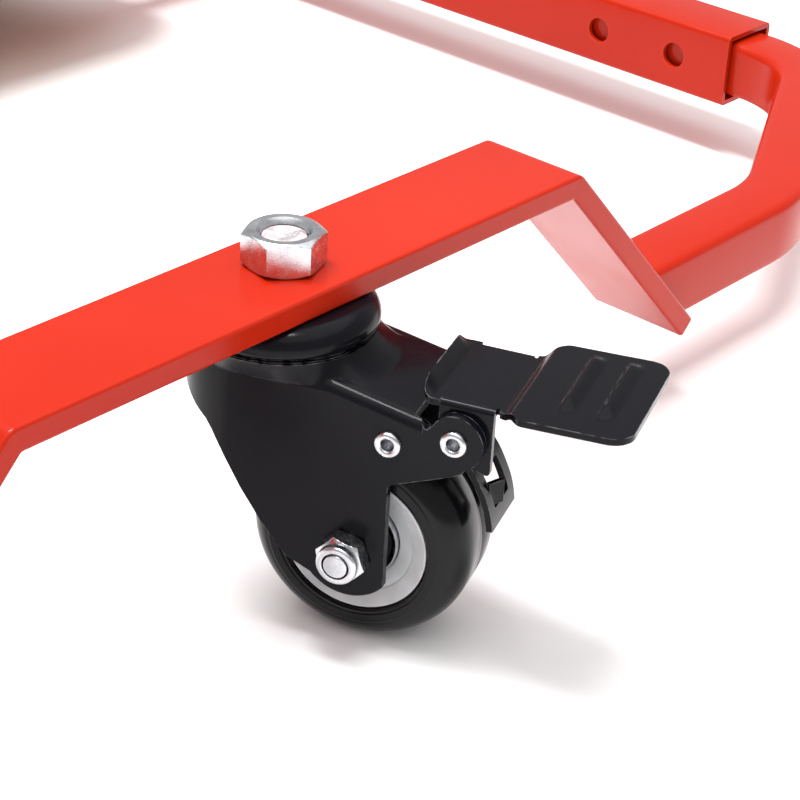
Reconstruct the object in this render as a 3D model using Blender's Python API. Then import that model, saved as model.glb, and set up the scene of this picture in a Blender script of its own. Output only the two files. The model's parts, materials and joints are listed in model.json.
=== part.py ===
"""Mechanics creeper: a rounded steel frame loop on four swivel casters, with a padded deck.

Four identical raised straps sit in the middle of the frame's four sides.  Each strap carries one
2 in swivel caster; the casters of the two ends have a foot brake.  Bent corner tubes join the end
straps to square rail sleeves.  Units in this file are millimetres, turned into metres by MM.
The origin is on the floor under the middle of the frame; the foot end is at -Y.
"""
import math

import bmesh
import bpy
from mathutils import Matrix, Vector

MM = 0.001
GAP = 0.3                     # clearance kept between touching solids

# frame
HALF_LENGTH = 505.0           # middle of the frame to the kingpin of an end strap
HALF_WIDTH = 294.4            # middle of the frame to the middle of a side rail
STRAP_WIDTH = 29.0
STRAP_THICK = 5.8
STRAP_TOP = 82.0              # height of the strap's flat top over the floor
STRAP_BEND = 84.8             # kingpin to the sharp outer bend line, along the strap
OUTER_BEND, INNER_BEND = 4.5, 1.2   # radii of the strap's bends
STRAP_EDGE = 0.8              # rounding of the bar's long edges
LEG_SLOPE = 0.968             # outward run of a strap leg for each millimetre of drop
LEG_FOOT = 19.9               # height of the inner edge at the foot of a leg
TUBE = 18.3                   # square corner and cross tubes
TUBE_WALL = 1.6
TUBE_CORNER = 2.6             # outer corner radius of its section
SLEEVE = 24.0                 # square rail sleeves
SLEEVE_WALL = 1.8
SLEEVE_CORNER = 1.8
RAIL_HEIGHT = 30.7            # middle of every tube over the floor
SLEEVE_START = 72.8           # end strap's middle line to the open end of a sleeve
HOLE_PLACES = (93.9, 125.2)   # end strap's middle line to the two holes of a sleeve
TUBE_HOLE = HOLE_PLACES[0]    # the hole that goes on through the corner tube's wall
HOLE_RADIUS = 4.1
CORNER_START = 200.0          # where the corner tube leaves the strap's line
CORNER_RISE = 47.9            # where its slanted run meets the rail's line
SOFT_BEND = 50.0              # middle-line radii of the two bends
TIGHT_BEND = 36.0
INSERTION = 90.0              # length of corner tube inside a sleeve

# deck
DECK_HALF_WIDTH = 225.0
DECK_FOOT, DECK_HEAD = -240.0, 408.0
DECK_THICK = 12.0
DECK_CORNER, PAD_CORNER = 28.0, 24.0
PAD_EDGE = 9.0
PAD_HEIGHT = 40.0
HEAD_PAD_HEIGHT = 46.0
PAD_INSET = 4.0
PAD_SPLITS = (-8.0, 232.0)    # middles of the gaps between hip, back and head pad
PAD_SPACE = 2.0
CROSS_RAILS = {"foot": -200.0, "middle": 168.0, "head": 384.0}

# caster, in its own frame: x along the trail, z up, the kingpin at the origin
TRAIL = 23.0
WHEEL_RADIUS = 25.4
WHEEL_HALF = 13.1
SHOULDER = 8.0
HUB_RADIUS = 16.6
BEARING_RADIUS = 9.5
RACE_RADIUS = 21.2
RACE_WAIST = 71.3             # height of the dust cap's widest line
SEAT_TOP, SEAT_RADIUS = 68.6, 20.4   # the round seat of the fork's crown, under the dust cap
FORK_HALF = 16.0              # outer faces of the fork's cheeks
SHEET = 2.0
CROWN_TOP = 65.6
CROWN_ROUND = 2.6             # rolled shoulders between crown and cheeks
CROWN_LEVEL, CROWN_FALL = 18.0, 0.21   # how far the crown stays level, and its slope in front of that
SKIRT_CENTRE = -5.0           # middle of the fork's half-round back
EAR_RADIUS = 6.3
CROWN_BORE, SPIGOT, RACE_FLANGE = 6.5, 6.0, 9.0   # radii of the crown's hole and the spigot through it
BRAKE_PIVOT = (45.4, 58.2)
TONGUE_PIVOT = (31.2, 54.5)
PIN_RADIUS = 2.6
RIVET_HEAD = 3.0
STEM_RADIUS = 5.0
AXLE_RADIUS = 3.0
NUT_ACROSS = 16.0
NUT_HEIGHT = 8.0
NUT_TURN = -8.75              # about the kingpin, degrees
AXLE_NUT_ACROSS = 10.0
AXLE_NUT_HEIGHT = 4.4
SOCKET_ACROSS = 5.5           # key socket in the axle bolt's head
BOLT_REACH = 22.6             # wheel's middle to the end of the axle bolt
PEDAL_BACK, PEDAL_TIP, PEDAL_SHEET = 36.8, 82.0, 1.6
SADDLE_HALF, PAD_HALF, PAD_ROUND = 14.0, 17.6, 5.0   # half widths of the pedal, and its pad's corners
TONGUE_HALF, WINDOW_HALF, TONGUE_SHEET = 8.0, 4.6, 1.5
CASTER_ANGLE = -69.1          # trail direction of the foot caster, degrees from +X
SIDE_ANGLE = 104.0            # the same for the right side caster
ROUND = 24                    # sides of the large round pieces
SMALL_ROUND = 12              # sides of pins, bores and rivet heads

RED, BLACK, ZINC = (0.80, 0.045, 0.02), (0.012, 0.012, 0.014), (0.62, 0.63, 0.65)
FINISHES = {
    "red_powder_coat": (RED, 0.28, 0.0),
    "black_paint": (BLACK, 0.34, 0.0),
    "zinc": (ZINC, 0.25, 1.0),
    "polyurethane": (BLACK, 0.16, 0.0),
    "hub_plastic": ((0.55, 0.55, 0.56), 0.35, 0.0),
    "bearing_steel": ((0.55, 0.55, 0.57), 0.18, 1.0),
    "vinyl": ((0.018, 0.018, 0.02), 0.45, 0.0),
    "plywood": ((0.42, 0.27, 0.14), 0.6, 0.0),
}


# ---------------------------------------------------------------- tools
def clear_scene():
    for item in list(bpy.data.objects):
        bpy.data.objects.remove(item, do_unlink=True)


def finish(name):
    """The named finish as a Principled material, made once."""
    found = bpy.data.materials.get(name)
    if found:
        return found
    colour, roughness, metallic = FINISHES[name]
    made = bpy.data.materials.new(name)
    made.use_nodes = True
    shader = made.node_tree.nodes["Principled BSDF"]
    shader.inputs["Base Color"].default_value = (*colour, 1.0)
    shader.inputs["Roughness"].default_value = roughness
    shader.inputs["Metallic"].default_value = metallic
    return made


def add_object(name, bm, look, parent=None, sharp=35.0):
    """Turn a bmesh in millimetres into a named, smooth-shaded object in metres."""
    bmesh.ops.scale(bm, vec=(MM, MM, MM), verts=bm.verts)
    bmesh.ops.recalc_face_normals(bm, faces=bm.faces)
    mesh = bpy.data.meshes.new(name)
    bm.to_mesh(mesh)
    bm.free()
    mesh.materials.append(finish(look))
    mesh.shade_smooth()
    mesh.set_sharp_from_angle(angle=math.radians(sharp))
    made = bpy.data.objects.new(name, mesh)
    bpy.context.scene.collection.objects.link(made)
    made.parent = parent
    return made


def add_empty(name, place, angle=0.0, parent=None):
    """An empty at a place in millimetres, turned about Z by an angle in degrees."""
    made = bpy.data.objects.new(name, None)
    bpy.context.scene.collection.objects.link(made)
    made.parent = parent
    made.location = Vector(place) * MM
    made.rotation_euler.z = math.radians(angle)
    return made


def cut(target, cutter, operation="DIFFERENCE"):
    """Boolean the hidden cutter with the target."""
    cutter.hide_render = True
    cutter.display_type = "WIRE"
    modifier = target.modifiers.new(operation.lower(), "BOOLEAN")
    modifier.operation = operation
    modifier.object = cutter


def skin(rings, closed_ring=False):
    """Join rings of equal length into one body; the ends are capped, or meet in a loop."""
    bm = bmesh.new()
    rows = [[bm.verts.new(p) for p in ring] for ring in rings]
    count = len(rows[0])
    pairs = list(zip(rows, rows[1:] + rows[:1])) if closed_ring else list(zip(rows, rows[1:]))
    for a, b in pairs:
        for i in range(count):
            j = (i + 1) % count
            bm.faces.new((a[i], a[j], b[j], b[i]))
    if not closed_ring:
        bm.faces.new(rows[0])
        bm.faces.new(rows[-1])
    return bm


def prism_xz(outline, y0, y1):
    """Extrude an outline in the X-Z plane from y0 to y1."""
    return skin([[(x, y, z) for x, z in outline] for y in (y0, y1)])


def prism_xy(outline, z0, z1):
    return skin([[(x, y, z) for x, y in outline] for z in (z0, z1)])


def arc(cx, cy, radius, start, end, steps):
    """Points on an arc, angles in degrees, both ends included."""
    turns = [math.radians(start + (end - start) * i / steps) for i in range(steps + 1)]
    return [(cx + radius * math.cos(t), cy + radius * math.sin(t)) for t in turns]


def rounded_rect(half_x, half_y, radius, steps=2):
    corners = ((1, 1, 0), (-1, 1, 90), (-1, -1, 180), (1, -1, 270))
    points = []
    for sx, sy, start in corners:
        points += arc(sx * (half_x - radius), sy * (half_y - radius), radius, start, start + 90, steps)
    return points


def turned(profile, steps, axis="Z"):
    """Revolve a closed (radius, height) profile; a radius of zero is a point on the axis."""
    bm = bmesh.new()
    rings = []
    for radius, height in profile:
        if radius == 0:
            rings.append([bm.verts.new((0, 0, height))])
            continue
        ring = arc(0, 0, radius, 0, 360, steps)[:-1]
        rings.append([bm.verts.new((x, y, height)) for x, y in ring])
    for a, b in zip(rings, rings[1:] + rings[:1]):
        for i in range(steps):
            j = (i + 1) % steps
            if len(a) == 1 and len(b) == 1:
                break
            if len(a) == 1:
                bm.faces.new((a[0], b[j], b[i]))
            elif len(b) == 1:
                bm.faces.new((a[i], a[j], b[0]))
            else:
                bm.faces.new((a[i], a[j], b[j], b[i]))
    if axis == "Y":
        bmesh.ops.rotate(bm, cent=(0, 0, 0), matrix=Matrix.Rotation(math.radians(90), 3, "X"), verts=bm.verts)
    return bm


def drill(radius, z0, z1, axis="Z"):
    """A round cutter along its axis."""
    return turned([(0, z1), (radius, z1), (radius, z0), (0, z0)], SMALL_ROUND, axis)


def filleted(points, radii, steps=4):
    """A plan path with each inner point replaced by an arc of the given radius."""
    path = [Vector(points[0])]
    for before, here, after, radius in zip(points, points[1:], points[2:], radii):
        here = Vector(here)
        back, ahead = (Vector(before) - here).normalized(), (Vector(after) - here).normalized()
        half = back.angle(ahead) / 2
        reach = radius / math.tan(half)
        centre = here + (back + ahead).normalized() * (radius / math.sin(half))
        start = here + back * reach - centre
        sweep = (math.pi - 2 * half) * (1 if back.x * ahead.y - back.y * ahead.x < 0 else -1)
        path += [centre + Matrix.Rotation(sweep * i / steps, 2) @ start for i in range(steps + 1)]
    path.append(Vector(points[-1]))
    return path


def sweep_section(section, path, slants):
    """One ring of the section at each point of a plan path, at rail height."""
    rings = []
    for i, point in enumerate(path):
        ahead = (path[min(i + 1, len(path) - 1)] - point).normalized()
        back = (point - path[max(i - 1, 0)]).normalized()
        along = (ahead + back).normalized()
        side = Vector((along.y, -along.x))
        slant = slants[0] if i == 0 else slants[1] if i == len(path) - 1 else 0.0
        places = [(point + side * across + along * up * slant, up) for across, up in section]
        rings.append([(place.x, place.y, RAIL_HEIGHT + up) for place, up in places])
    return rings


def tube_along(path, size, wall, radius, slants=(0.0, 0.0)):
    """A hollow square tube along a plan path at rail height; slants shear the two end cuts."""
    outer = rounded_rect(size / 2, size / 2, radius, steps=1)
    inner = rounded_rect(size / 2 - wall, size / 2 - wall, max(radius - wall, 0.4), steps=1)
    loops = sweep_section(outer, path, slants) + sweep_section(inner, path, slants)[::-1]
    return skin(loops, closed_ring=True)


# ---------------------------------------------------------------- frame
def strap_outline():
    """Side view of the raised strap in its own X-Z plane, symmetric about the kingpin."""
    under = STRAP_TOP - STRAP_THICK
    inner_bend = STRAP_BEND - STRAP_THICK * math.hypot(1, LEG_SLOPE) + LEG_SLOPE * STRAP_THICK
    inner_foot = inner_bend + LEG_SLOPE * (under - LEG_FOOT)
    normal = Vector((1, LEG_SLOPE)).normalized() * STRAP_THICK
    lean = math.degrees(math.atan(1 / LEG_SLOPE))
    setback = math.tan(math.radians(lean / 2))
    half = arc(STRAP_BEND - OUTER_BEND * setback, STRAP_TOP - OUTER_BEND, OUTER_BEND, 90, 90 - lean, 4)
    half += [(inner_foot + normal.x, LEG_FOOT + normal.y), (inner_foot, LEG_FOOT)]
    half += arc(inner_bend - INNER_BEND * setback, under - INNER_BEND, INNER_BEND, 90 - lean, 90, 2)
    return half + [(-x, z) for x, z in reversed(half)]


def leg_face(height):
    """Kingpin to the outer face of a strap leg at a height over the floor."""
    return STRAP_BEND + LEG_SLOPE * (STRAP_TOP - height)


def make_strap(side, station):
    strap = add_object(f"caster_strap_{side}", prism_xz(strap_outline(), -STRAP_WIDTH / 2, STRAP_WIDTH / 2),
                       "red_powder_coat", station)
    edges = strap.modifiers.new("edge_rounding", "BEVEL")
    edges.width, edges.segments, edges.angle_limit = STRAP_EDGE * MM, 1, math.radians(60)
    hole = drill(STEM_RADIUS + GAP, STRAP_TOP - 2 * STRAP_THICK, STRAP_TOP + STRAP_THICK)
    cut(strap, add_object(f"cutter_kingpin_{side}", hole, "zinc", station))


def make_corner_tube(end, side, station, mirror):
    """From the strap leg, round two bends, into the rail sleeve; drawn for the foot's right corner."""
    slack = GAP * math.hypot(1, LEG_SLOPE)
    points = [(leg_face(RAIL_HEIGHT) + slack, 0), (CORNER_START, 0), (HALF_WIDTH, CORNER_RISE),
              (HALF_WIDTH, SLEEVE_START + INSERTION)]
    path = filleted(points, (SOFT_BEND, TIGHT_BEND))
    path = [Vector((p.x * mirror, p.y)) for p in path]
    bm = tube_along(path, TUBE, TUBE_WALL, TUBE_CORNER, slants=(-LEG_SLOPE, 0.0))
    tube = add_object(f"corner_tube_{end}_{side}", bm, "red_powder_coat", station)
    cut_side_hole(tube, station, mirror, TUBE_HOLE)


def cut_side_hole(target, station, mirror, place):
    """A round hole through the inner wall of a rail, along X."""
    bm = drill(HOLE_RADIUS, -SLEEVE / 3, SLEEVE / 3)
    tool = add_object(f"cutter_{target.name}_{place:.0f}", bm, "zinc", station)
    tool.location = Vector((mirror * (HALF_WIDTH - SLEEVE / 2), place, RAIL_HEIGHT)) * MM
    tool.rotation_euler.y = math.radians(90)
    cut(target, tool)


def make_side_rail(end, side, station, mirror):
    """The sleeve of one corner, from its open end to the leg of the side strap."""
    slack = GAP * math.hypot(1, LEG_SLOPE)
    stop = HALF_LENGTH - leg_face(RAIL_HEIGHT) - slack
    path = [Vector((HALF_WIDTH * mirror, SLEEVE_START)), Vector((HALF_WIDTH * mirror, stop))]
    bm = tube_along(path, SLEEVE, SLEEVE_WALL, SLEEVE_CORNER, slants=(0.0, LEG_SLOPE))
    rail = add_object(f"side_rail_{end}_{side}", bm, "red_powder_coat", station)
    for place in HOLE_PLACES:
        cut_side_hole(rail, station, mirror, place)


def make_cross_rail(name, y):
    """A square tube welded between the inner faces of the side rails."""
    reach = HALF_WIDTH - SLEEVE / 2 - GAP
    bm = tube_along([Vector((-reach, y)), Vector((reach, y))], TUBE, TUBE_WALL, TUBE_CORNER)
    add_object(f"cross_rail_{name}", bm, "red_powder_coat")


# ---------------------------------------------------------------- deck
def slab(x_half, y0, y1, z0, z1, corner):
    outline = [(x, y + (y0 + y1) / 2) for x, y in rounded_rect(x_half, (y1 - y0) / 2, corner, 4)]
    return prism_xy(outline, z0, z1)


def make_deck():
    """The board on the cross rails, and three pads in a row on it."""
    base = RAIL_HEIGHT + TUBE / 2 + GAP
    top = base + DECK_THICK
    board = slab(DECK_HALF_WIDTH, DECK_FOOT, DECK_HEAD, base, top, DECK_CORNER)
    add_object("deck_board", board, "plywood")
    starts = (DECK_FOOT + PAD_INSET, *(y + PAD_SPACE / 2 for y in PAD_SPLITS))
    ends = (*(y - PAD_SPACE / 2 for y in PAD_SPLITS), DECK_HEAD - PAD_INSET)
    heights = (PAD_HEIGHT, PAD_HEIGHT, HEAD_PAD_HEIGHT)
    for name, start, end, height in zip(("hip_pad", "back_pad", "head_pad"), starts, ends, heights):
        low = top + GAP
        body = slab(DECK_HALF_WIDTH - PAD_INSET, start, end, low, low + height, PAD_CORNER)
        pad = add_object(name, body, "vinyl")
        edge = pad.modifiers.new("pad_edge", "BEVEL")
        edge.width, edge.segments, edge.angle_limit = PAD_EDGE * MM, 2, math.radians(60)


# ---------------------------------------------------------------- caster
def hex_radius(across, turn):
    """Centre to a hexagon's side at a turn in radians; the corners are at 30 degrees and every 60 on."""
    return across / 2 / math.cos((turn + math.pi / 6) % (math.pi / 3) - math.pi / 6)


def hex_nut(across, height, bore):
    """A hexagonal nut standing on z = 0, chamfered at both faces, with a through bore."""
    turns = [2 * math.pi * i / SMALL_ROUND for i in range(SMALL_ROUND)]
    corner, face = hex_radius(across, math.pi / 6), 0.48 * across
    chamfer = (corner - face) * math.tan(math.radians(35))
    mouth = 0.9

    def ring(limit, z):
        radii = [min(hex_radius(across, t), limit) for t in turns]
        return [(r * math.cos(t), r * math.sin(t), z) for r, t in zip(radii, turns)]

    rings = [ring(face, 0), ring(corner, chamfer), ring(corner, height - chamfer), ring(face, height),
             ring(bore + mouth, height), ring(bore, height - mouth), ring(bore, mouth), ring(bore + mouth, 0)]
    return skin(rings, closed_ring=True)


def make_race(name, station):
    """The fixed upper race: threaded stem, dust cap and the spigot that holds the fork's crown."""
    under = STRAP_TOP - STRAP_THICK - GAP
    low = SEAT_TOP + GAP
    flange_top = CROWN_TOP - SHEET - GAP
    flange_low = flange_top - 2.6
    stem_end = STRAP_TOP + NUT_HEIGHT - 1.4
    roll = under - RACE_WAIST
    dome = arc(RACE_RADIUS - roll, RACE_WAIST, roll, 80, 0, 4)
    profile = [(0, stem_end), (STEM_RADIUS, stem_end), (STEM_RADIUS, under), *dome,
               (SEAT_RADIUS, RACE_WAIST - 1.1), (SEAT_RADIUS, low), (SPIGOT, low), (SPIGOT, flange_top),
               (RACE_FLANGE, flange_top), (RACE_FLANGE, flange_low), (0, flange_low)]
    add_object(f"{name}_top_race", turned(profile, ROUND), "black_paint", station)


def crown_height(x):
    """The crown is level round the kingpin and slopes down in front of it."""
    return CROWN_TOP - CROWN_FALL * max(x - CROWN_LEVEL, 0.0)


def fork_outline(braked):
    """Side view of the fork: skirted back, narrow round foot about the axle, and on a braked fork an ear."""
    back = SKIRT_CENTRE - FORK_HALF - 1
    foot = arc(TRAIL, WHEEL_RADIUS, 11.0, 222, 322, 7)
    rear = [(CROWN_LEVEL, CROWN_TOP), (back, CROWN_TOP), (back, 52.0), (-18.5, 48.0), (-9.4, 48.0),
            (-2.1, 35.0), (4.0, 26.2)]
    front = [(31.6, 24.0), (31.6, 43.0), (32.8, 45.2)]
    if braked:
        ear = [(46.4, 50.6), *arc(*BRAKE_PIVOT, EAR_RADIUS, -64, 112, 6)]
        notch = [(40.6, 61.4), (39.5, 60.0), (36.4, crown_height(36.4))]
        return rear + foot + front + ear + notch
    return rear + foot + front + [(34.0, 48.0), (33.0, 56.0), (30.0, crown_height(30.0))]


def make_fork(name, swivel, braked):
    """One stamping: a crown with a round seat, a skirt behind it and two cheeks beside the wheel."""
    bm = prism_xz(fork_outline(braked), -FORK_HALF, FORK_HALF)
    shoulders = [e for e in bm.edges if all(v.co.z > crown_height(v.co.x) - GAP for v in e.verts)
                 and abs(e.verts[0].co.y - e.verts[1].co.y) < GAP and max(v.co.x for v in e.verts) < 37]
    bmesh.ops.bevel(bm, geom=shoulders, offset=CROWN_ROUND, segments=3, affect="EDGES", profile=0.5)
    fork = add_object(f"{name}_fork", bm, "black_paint", swivel)
    front = BRAKE_PIVOT[0] + 2 * EAR_RADIUS
    plan = arc(SKIRT_CENTRE, 0, FORK_HALF, 90, 270, 12) + [(front, -FORK_HALF), (front, FORK_HALF)]
    cut(fork, add_object(f"guide_plan_{name}", prism_xy(plan, 0, STRAP_TOP), "zinc", swivel), "INTERSECT")
    inside, ceiling = FORK_HALF - SHEET, CROWN_TOP - SHEET
    mouth = 35.5              # where the crown ends and the fork opens upwards for the pedal
    room = prism_xz([(SKIRT_CENTRE, 0), (front + 1, 0), (front + 1, STRAP_TOP), (mouth, STRAP_TOP),
                     (mouth, crown_height(mouth) - SHEET), (CROWN_LEVEL, ceiling), (SKIRT_CENTRE, ceiling)],
                    -inside, inside)
    cut(fork, add_object(f"cutter_inside_{name}", room, "zinc", swivel))
    overlap = SKIRT_CENTRE + 1
    hollow = arc(SKIRT_CENTRE, 0, inside, 90, 270, 10) + [(overlap, -inside), (overlap, inside)]
    cut(fork, add_object(f"cutter_skirt_{name}", prism_xy(hollow, 0, ceiling), "zinc", swivel))
    seat = turned([(CROWN_BORE, CROWN_TOP - 1), (CROWN_BORE, SEAT_TOP), (SEAT_RADIUS, SEAT_TOP),
                   (SEAT_RADIUS + 1.2, SEAT_TOP - 1.8), (FORK_HALF + 1.2, CROWN_TOP - 1)], ROUND)
    cut(fork, add_object(f"guide_seat_{name}", seat, "zinc", swivel), "UNION")
    cut(fork, add_object(f"cutter_crown_{name}", drill(CROWN_BORE, 50, STRAP_TOP), "zinc", swivel))
    places = [(TRAIL, WHEEL_RADIUS, AXLE_RADIUS)]
    if braked:
        places += [(*BRAKE_PIVOT, PIN_RADIUS), (*TONGUE_PIVOT, PIN_RADIUS)]
    for number, (x, z, radius) in enumerate(places):
        bm = drill(radius + GAP, -2 * FORK_HALF, 2 * FORK_HALF, "Y")
        tool = add_object(f"cutter_pin_{name}_{number}", bm, "zinc", swivel)
        tool.location = Vector((x, 0, z)) * MM
        cut(fork, tool)


def make_wheel(name, axle):
    """Tyre, hub and bearing, all turned about the axle, which is the parent's Y axis."""
    flat = WHEEL_HALF - SHOULDER
    rim = HUB_RADIUS + GAP
    crown = WHEEL_RADIUS - SHOULDER
    half = [(rim, 11.0), *arc(crown, flat, SHOULDER, 90, 0, 4)]
    profile = half + [(r, -y) for r, y in reversed(half)]
    add_object(f"{name}_tyre", turned(profile, ROUND, "Y"), "polyurethane", axle)
    seat = BEARING_RADIUS + GAP
    face = [(seat, 9.2), (HUB_RADIUS - 2.4, 9.2), (HUB_RADIUS, 10.6)]
    hub = face + [(r, -y) for r, y in reversed(face)]
    add_object(f"{name}_hub", turned(hub, ROUND, "Y"), "hub_plastic", axle)
    bore = AXLE_RADIUS + GAP
    end = FORK_HALF - SHEET - 0.4
    ring = [(bore, end), (5.2, end), (5.2, 9.4), (BEARING_RADIUS, 9.4)]
    add_object(f"{name}_bearing", turned(ring + [(r, -y) for r, y in reversed(ring)], 20, "Y"),
               "bearing_steel", axle)


def make_axle(name, swivel):
    """An M6 bolt through both cheeks and its nylon-ring lock nut on the -Y side."""
    outside = FORK_HALF + GAP
    head, head_end, chamfer = 5.6, -outside - 4.2, 0.6
    shank = turned([(0, BOLT_REACH), (AXLE_RADIUS - chamfer, BOLT_REACH), (AXLE_RADIUS, BOLT_REACH - chamfer),
                    (AXLE_RADIUS, -outside), (head - 1, -outside), (head, -outside - chamfer),
                    (head, head_end + chamfer), (head - chamfer, head_end), (0, head_end)], SMALL_ROUND, "Y")
    bolt = add_object(f"{name}_axle_bolt", shank, "zinc", swivel)
    bolt.location = Vector((TRAIL, 0, WHEEL_RADIUS)) * MM
    hexagon = arc(0, 0, hex_radius(SOCKET_ACROSS, math.pi / 6), 0, 300, 5)
    socket = skin([[(x, y, z) for x, z in hexagon] for y in (outside + 1.8, 2 * outside)])
    key = add_object(f"cutter_socket_{name}", socket, "zinc", swivel)
    key.location = bolt.location
    cut(bolt, key)
    bm = hex_nut(AXLE_NUT_ACROSS, AXLE_NUT_HEIGHT, AXLE_RADIUS + GAP)
    nut = add_object(f"{name}_axle_nut", bm, "zinc", swivel)
    nut.location = Vector((TRAIL, -outside, WHEEL_RADIUS)) * MM
    nut.rotation_euler.x = math.radians(90)
    collar = turned([(3.6, 6.2), (4.1, 6.2), (4.5, 5.7), (4.5, 3.9), (3.6, 3.9)], SMALL_ROUND)
    ring = add_object(f"guide_collar_{name}", collar, "zinc", nut)
    cut(nut, ring, "UNION")


def make_rivet(name, swivel, place):
    """A semi-tubular pin across both cheeks, with a rolled hollow head on the -Y side."""
    outside, pin, hollow = FORK_HALF + GAP, PIN_RADIUS, 1.45
    roll_end, dome_end = outside + 0.9, -outside - 1.7
    profile = [(0, 12), (hollow, 12), (hollow, roll_end), (RIVET_HEAD - 0.4, roll_end), (RIVET_HEAD, outside),
               (pin, outside), (pin, -outside), (RIVET_HEAD + 0.4, -outside), (RIVET_HEAD, -outside - 1.1),
               (1.6, dome_end), (0, dome_end)]
    rivet = add_object(name, turned(profile, SMALL_ROUND, "Y"), "zinc", swivel)
    rivet.location = Vector((place[0], 0, place[1])) * MM


def pedal_height(x, y):
    """Upper surface of the pedal: upturned back edge, flat saddle, bend and ribbed pad."""
    lip = 3.6 * max(1 - (x - PEDAL_BACK) / 3.0, 0.0) ** 2
    rise = 1.6 / (1 + math.exp(-(x - 58.5) / 1.0))
    fade = max(0.0, 1 - (abs(y) / 12.5) ** 6)
    ribs = sum(1.0 * math.exp(-((x - centre) / 1.5) ** 2) for centre in (66.5, 72.5))
    return 66.4 + lip + rise + ribs * fade


def pedal_half_width(x):
    """Half width of the pedal in plan: saddle, then a wider pad with round corners."""
    widen, pad, spread = 57.0, 64.0, PAD_HALF - SADDLE_HALF
    if x > PEDAL_TIP - PAD_ROUND:
        left = PAD_ROUND ** 2 - (x - PEDAL_TIP + PAD_ROUND) ** 2
        return PAD_HALF - PAD_ROUND + math.sqrt(max(left, 0.6))
    share = min(max((x - widen) / (pad - widen), 0.0), 1.0)
    return SADDLE_HALF + spread * math.sin(share * math.pi / 2) ** 2


def make_pedal(name, pivot):
    """The stamped pedal: a formed plate with two flanges that hang inside the fork's ears."""
    px, pz = BRAKE_PIVOT
    stations = [PEDAL_BACK, 37.6, 38.6, 39.9, 56.0, 58.5, 61.0, 64.0, 66.5, 69.5, 72.5, 75.5, 78.5, 80.6]
    stations.append(PEDAL_TIP - 0.1)
    shares = [-1, -0.75, 0, 0.75, 1]
    rings = []
    for x in stations:
        half = pedal_half_width(x)
        upper = [(x - px, s * half, pedal_height(x, s * half) - pz) for s in shares]
        rings.append(upper + [(a, b, c - PEDAL_SHEET) for a, b, c in reversed(upper)])
    plate = add_object(f"{name}_brake_pedal", skin(rings), "black_paint", pivot)
    side_view = [(41.5, 66.0), (40.6, 60.0), *arc(px, pz, 5.6, 200, 285, 4), (53.0, 52.6), (54.6, 54.0),
                 (55.4, 66.0)]
    flange = [(x - px, z - pz) for x, z in side_view]
    for number, side in enumerate((-1, 1)):
        near, far = sorted((side * 12.0, side * 13.5))
        cheek = add_object(f"guide_flange_{name}_{number}", prism_xz(flange, near, far), "zinc", pivot)
        cut(plate, cheek, "UNION")
    bm = drill(PIN_RADIUS + GAP, -2 * FORK_HALF, 2 * FORK_HALF, "Y")
    cut(plate, add_object(f"cutter_pivot_{name}", bm, "zinc", pivot))


def make_tongue(name, pivot):
    """The curved brake plate between pedal and tyre, hooked over its own pin, with a window."""
    px, pz = TONGUE_PIVOT
    line = [(28.2, 57.4), (29.6, 58.4), (31.2, 58.7), (33.4, 58.0), (38.4, 54.6), (43.6, 50.6), (47.4, 46.0),
            (50.2, 40.4), (51.4, 36.6), (51.9, 33.4)]
    upper, lower = [], []
    for i, point in enumerate(line):
        here = Vector(point)
        along = (Vector(line[min(i + 1, len(line) - 1)]) - Vector(line[max(i - 1, 0)])).normalized()
        normal = Vector((-along.y, along.x)) * TONGUE_SHEET / 2
        upper.append(here + normal - Vector((px, pz)))
        lower.append(here - normal - Vector((px, pz)))
    outline = [tuple(p) for p in upper] + [tuple(p) for p in reversed(lower)]
    plate = add_object(f"{name}_brake_tongue", prism_xz(outline, -TONGUE_HALF, TONGUE_HALF),
                       "black_paint", pivot)
    window = [(x - px, z - pz) for x, z in ((47.0, 36.5), (56.0, 36.5), (56.0, 43.8), (47.0, 43.8))]
    opening = prism_xz(window, -WINDOW_HALF, WINDOW_HALF)
    cut(plate, add_object(f"cutter_window_{name}", opening, "zinc", pivot))


def make_caster(side, station, angle, braked):
    """One caster under the station's strap; its swivel empty is on the kingpin's axis."""
    name = f"{side}_caster"
    bm = hex_nut(NUT_ACROSS, NUT_HEIGHT, STEM_RADIUS + GAP)
    nut = add_object(f"{name}_kingpin_nut", bm, "zinc", station)
    nut.location.z = (STRAP_TOP + GAP) * MM
    nut.rotation_euler.z = math.radians(NUT_TURN)
    make_race(name, station)
    swivel = add_empty(f"{name}_swivel", (0, 0, 0), angle, station)
    make_fork(name, swivel, braked)
    make_axle(name, swivel)
    make_wheel(name, add_empty(f"{name}_axle", (TRAIL, 0, WHEEL_RADIUS), 0, swivel))
    if braked:
        make_rivet(f"{name}_pedal_rivet", swivel, BRAKE_PIVOT)
        make_rivet(f"{name}_tongue_rivet", swivel, TONGUE_PIVOT)
        make_pedal(name, add_empty(f"{name}_pedal_pivot", (BRAKE_PIVOT[0], 0, BRAKE_PIVOT[1]), 0, swivel))
        make_tongue(name, add_empty(f"{name}_tongue_pivot", (TONGUE_PIVOT[0], 0, TONGUE_PIVOT[1]), 0, swivel))


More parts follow.
